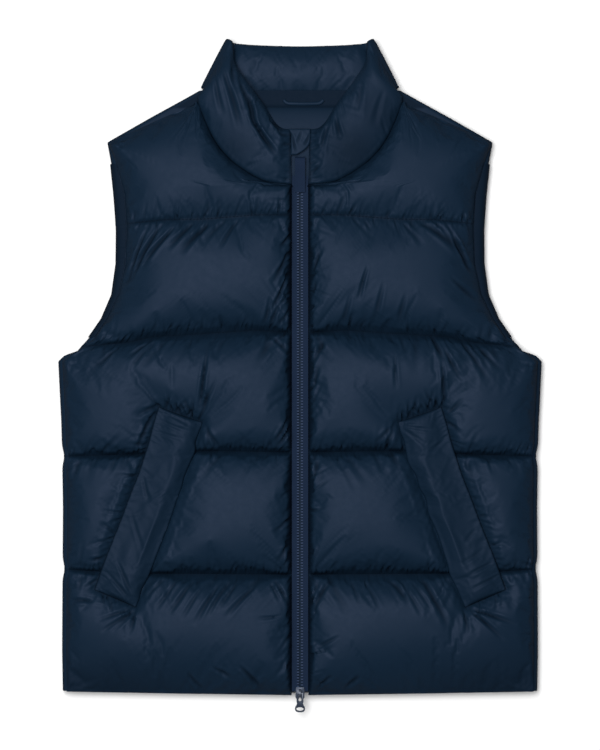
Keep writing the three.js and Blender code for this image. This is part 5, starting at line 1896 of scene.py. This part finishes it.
# The folds that lie deepest, from their start to their end: half width, depth, deepest place
LEFT_DRAPE = Drape(
    seed=100,
    lean_up=-0.3,
    lean_zip=1.5,
    folds=(
        # from the chest line towards the armhole
        Crease(175.5, 172, 205, 103, 1.9, 2.6),
        Crease(158, 175, 201, 109, 2.0, 2.8),
        Crease(144, 172, 184, 124, 2.0, 2.6, 0.4),
        Crease(120.8, 177, 155, 145, 2.4, 2.4, 0.4),
        Crease(106, 177, 138, 138, 2.9, 2.6, 0.4),
        Crease(69.7, 182, 94, 145, 1.9, 1.9, 0.4),
        Crease(88, 180, 112, 150, 2.3, 1.3, 0.4),
        # from the zip's edge
        Crease(9.8, 166, 25, 141, 1.8, 1.9, 0.3),
        Crease(10.5, 147, 32, 103, 2.2, 2.6, 0.35),
        Crease(10.5, 122, 34, 70, 1.7, 3.0, 0.35),
        Crease(34, 92, 42, 55, 2.0, 2.0, 0.6),
        Crease(22, 90, 36, 54, 1.8, 1.8, 0.6),
        Crease(10.5, 80, 25, 54, 1.8, 1.9, 0.5),
        Crease(10.7, -44, 33, -87, 2.0, 2.4, 0.5),
        Crease(10.7, -58, 27, -86, 1.8, 2.0, 0.5),
        Crease(34, 47, 11, 22, 2.0, 1.8),
        Crease(10.7, -165, 31, -185, 2.0, 1.8, 0.3),
        Crease(10.7, -190, 26, -219, 2.0, 2.0, 0.4),
        # in the row over the pocket, towards its corners
        Crease(105.7, 44, 115.6, -47, 1.9, 2.4, 0.6),
        Crease(93.5, 2, 113.2, -43, 1.8, 2.0, 0.7),
        Crease(102.5, -6, 113, -38, 1.7, 1.6, 0.7),
        Crease(174.6, 42, 200, 18, 1.7, 1.6, 0.4),
        Crease(178, 29, 197, 7, 2.2, 1.2, 0.4),
        Crease(210, 35, 236, 9, 1.9, 1.5, 0.4),
        Crease(162, -33, 190, -49, 2.2, 2.0, 0.3),
        Crease(164, -38, 191, -88, 2.0, 2.4, 0.5),
        Crease(112.2, -56, 92.6, -86, 2.0, 2.0, 0.5),
        Crease(110.4, -61, 103.4, -85, 1.8, 1.6, 0.5),
        # under the lowest quilt line
        Crease(157, -235, 182, -263, 1.9, 1.5, 0.4),
        Crease(140, -235, 168, -272, 1.8, 1.4, 0.45),
        Crease(121, -235, 153, -277, 2.1, 1.9, 0.4),
        Crease(107, -236, 137, -283, 1.7, 1.3, 0.5),
        Crease(93, -237, 121, -289, 2.1, 1.9, 0.4),
        Crease(82, -237, 108, -280, 1.7, 1.4, 0.45),
        Crease(71, -238, 96, -270, 1.9, 1.6, 0.4),
        Crease(50, -241, 87, -281, 2.1, 1.7, 0.45),
        Crease(30, -237, 10.7, -267, 1.7, 2.2, 0.4),
        Crease(36, -240, 22, -262, 1.5, 1.6, 0.4),
        Crease(22, -278, 50, -281, 1.6, 1.3, 0.4),
        # in the lowest row, from the pocket's end and up from the hem
        Crease(193, -271, 229, -298, 1.7, 2.4, 0.3),
        Crease(193, -272, 217, -297, 2.0, 2.0, 0.3),
        Crease(191, -273, 197, -299, 2.0, 2.0, 0.3),
        Crease(194, -269, 236, -286, 1.7, 1.8, 0.3),
        Crease(238, -261, 268, -263, 2.2, 1.8, 0.4),
        Crease(102, -336, 79, -354, 2.2, 1.8),
        Crease(72, -334, 44, -369, 2.3, 2.6),
        Crease(132, -343, 115, -366, 2.2, 1.8),
    ),
    welt_folds=(
        Crease(215.6, -203, 193, -262, 1.9, 1.5, 0.6),
        Crease(228, -222, 194, -264, 1.9, 1.5, 0.6),
        Crease(237, -246, 195, -267, 1.8, 1.3, 0.6),
        Crease(196, -155, 181, -211, 1.9, 1.1),
        Crease(182, -115, 174, -149, 1.8, 1.2),
        Crease(160, -43, 124, -60, 1.6, 1.0),
        Crease(163, -52, 126, -66, 1.8, 0.9),
        Crease(168, -66, 134, -74, 1.8, 0.8),
    ),
)
RIGHT_DRAPE = Drape(
    seed=500,
    lean_up=0.35,
    lean_zip=-1.3,
    folds=(
        # from the chest line towards the armhole
        Crease(166, 181, 202, 119, 2.2, 3.2, 0.6),
        Crease(138, 179, 194, 136, 3.3, 2.4),
        Crease(152, 179, 186, 148, 2.2, 1.6, 0.4),
        Crease(173, 114, 210, 87, 2.6, 1.8),
        Crease(118, 180, 140, 148, 2.2, 1.2, 0.3),
        Crease(79, 126, 67, 86, 1.7, 1.9),
        Crease(96, 110, 88, 62, 2.2, 1.5, 0.6),
        Crease(58, 96, 51, 55, 2.2, 1.6, 0.6),
        Crease(122, 96, 114, 56, 2.2, 1.6, 0.6),
        # from the zip's edge
        Crease(11, 118, 27, 147, 2.0, 2.2, 0.4),
        Crease(11, 91, 20, 112, 1.8, 1.8, 0.4),
        Crease(11, 8, 32, 44, 2.0, 2.0, 0.5),
        Crease(11, -20, 24, 12, 1.8, 1.7, 0.5),
        Crease(11, -128, 24, -98, 1.9, 1.8, 0.5),
        Crease(11, -271, 39, -234, 2.0, 2.2, 0.6),
        Crease(12, -276, 30, -252, 1.8, 1.7, 0.5),
        # in the row over the pocket, towards its corners
        Crease(151, 48, 164, 18, 2.0, 2.2, 0.5),
        Crease(163, 24, 166, -37, 1.9, 2.6, 0.6),
        Crease(187.7, 42, 214, -6, 2.3, 2.2, 0.4),
        Crease(168, 32, 184, -8, 2.2, 2.0, 0.4),
        Crease(205, 39, 232, 3, 2.3, 1.8, 0.4),
        Crease(110, 27, 111, -17, 1.7, 1.4),
        Crease(168, -45, 190, -28, 2.0, 1.9, 0.3),
        Crease(168, -51, 187, -70, 2.0, 1.8, 0.3),
        Crease(112, -52, 98, -86, 2.0, 1.8, 0.5),
        Crease(110, -57, 88, -80, 2.0, 1.6, 0.5),
        # under the lowest quilt line
        Crease(75, -236, 92, -272, 1.8, 1.4, 0.4),
        Crease(118, -236, 140, -280, 1.9, 1.5, 0.4),
        Crease(58, -237, 70, -264, 1.7, 1.3, 0.4),
        Crease(130, -236, 150, -270, 1.7, 1.2, 0.4),
        Crease(46, -300, 19, -317, 1.7, 1.6),
        # in the lowest row, from the pocket's end and up from the hem
        Crease(101, -233, 127, -263, 2.9, 2.4, 0.4),
        Crease(143, -233, 171, -294, 2.9, 2.4, 0.4),
        Crease(195, -270, 252, -289, 2.0, 2.4, 0.35),
        Crease(195, -271, 237, -307, 1.9, 2.4, 0.35),
        Crease(189, -272, 194, -300, 2.2, 2.0, 0.35),
        Crease(19, -367, 38, -347, 1.7, 2.2),
        Crease(52, -366, 69, -347, 2.2, 2.2),
    ),
    welt_folds=(
        Crease(213, -202, 184, -219, 1.9, 1.4, 0.4),
        Crease(223, -217, 190, -235, 1.9, 1.4, 0.4),
        Crease(205, -179, 188, -196, 1.8, 1.2, 0.4),
        Crease(229, -233, 196, -250, 1.8, 1.1, 0.4),
        Crease(118, -58, 158, -66, 1.8, 1.0, 0.4),
        Crease(118, -60, 150, -86, 2.0, 1.1, 0.4),
        Crease(172, -70, 150, -92, 1.8, 0.9),
    ),
)

COLLAR_FOLDS = (
    (Side.LEFT, Crease(91, 360, 67, 282, 2.6, 2.0, 0.5)),
    (Side.LEFT, Crease(71, 352, 54, 296, 2.6, 2.6, 0.6)),
    (Side.LEFT, Crease(58, 306, 31, 253, 2.4, 2.4, 0.4)),
    (Side.LEFT, Crease(61, 334, 50, 285, 2.2, 2.6, 0.6)),
    (Side.LEFT, Crease(52, 294, 25, 250, 2.2, 2.2, 0.35)),
    (Side.LEFT, Crease(100, 352, 88, 300, 2.2, 1.3)),
    (Side.LEFT, Crease(80, 366, 74, 330, 2.4, 1.6, 0.4)),
    (Side.LEFT, Crease(38, 306, 13, 270, 1.9, 1.6)),
    (Side.LEFT, Crease(34, 296, 12, 277, 1.7, 1.4)),
    (Side.RIGHT, Crease(42, 302, 46, 272, 2.2, 2.2)),
    (Side.RIGHT, Crease(35, 296, 23, 258, 2.0, 1.8)),
    (Side.RIGHT, Crease(70, 345, 66, 300, 3.0, 1.2)),
    (Side.RIGHT, Crease(98, 330, 84, 288, 3.0, 1.0)),
    (Side.RIGHT, Crease(14, 233, 25, 249, 1.8, 1.6, 0.4)),
    (Side.RIGHT, Crease(14, 262, 26, 268, 1.7, 1.3, 0.4)),
)


def main() -> None:
    """Builds the vest's sub-assemblies in order and reports each piece."""
    logging.basicConfig(level=logging.INFO, format="%(message)s")
    Stage().build()
    finishes = Finishes()
    cut = Cut()
    back = BackPanel(cut)
    back.build(finishes)
    fronts = []
    for side, drape in ((Side.LEFT, LEFT_DRAPE), (Side.RIGHT, RIGHT_DRAPE)):
        front = FrontPanel(side, cut, drape)
        fronts.append(front)
        front.build(finishes)
        Welt(side, front, drape.seed + 40).build(finishes)
        ArmholeFacing(side, cut, back).build(finishes)
    Collar(cut, COLLAR_FOLDS).build(finishes)
    Zip().build(finishes)
    SmallCloth().build(finishes)
    Topstitching(cut, (fronts[0], fronts[1]), back).build(finishes)


if __name__ == "__main__":
    main()
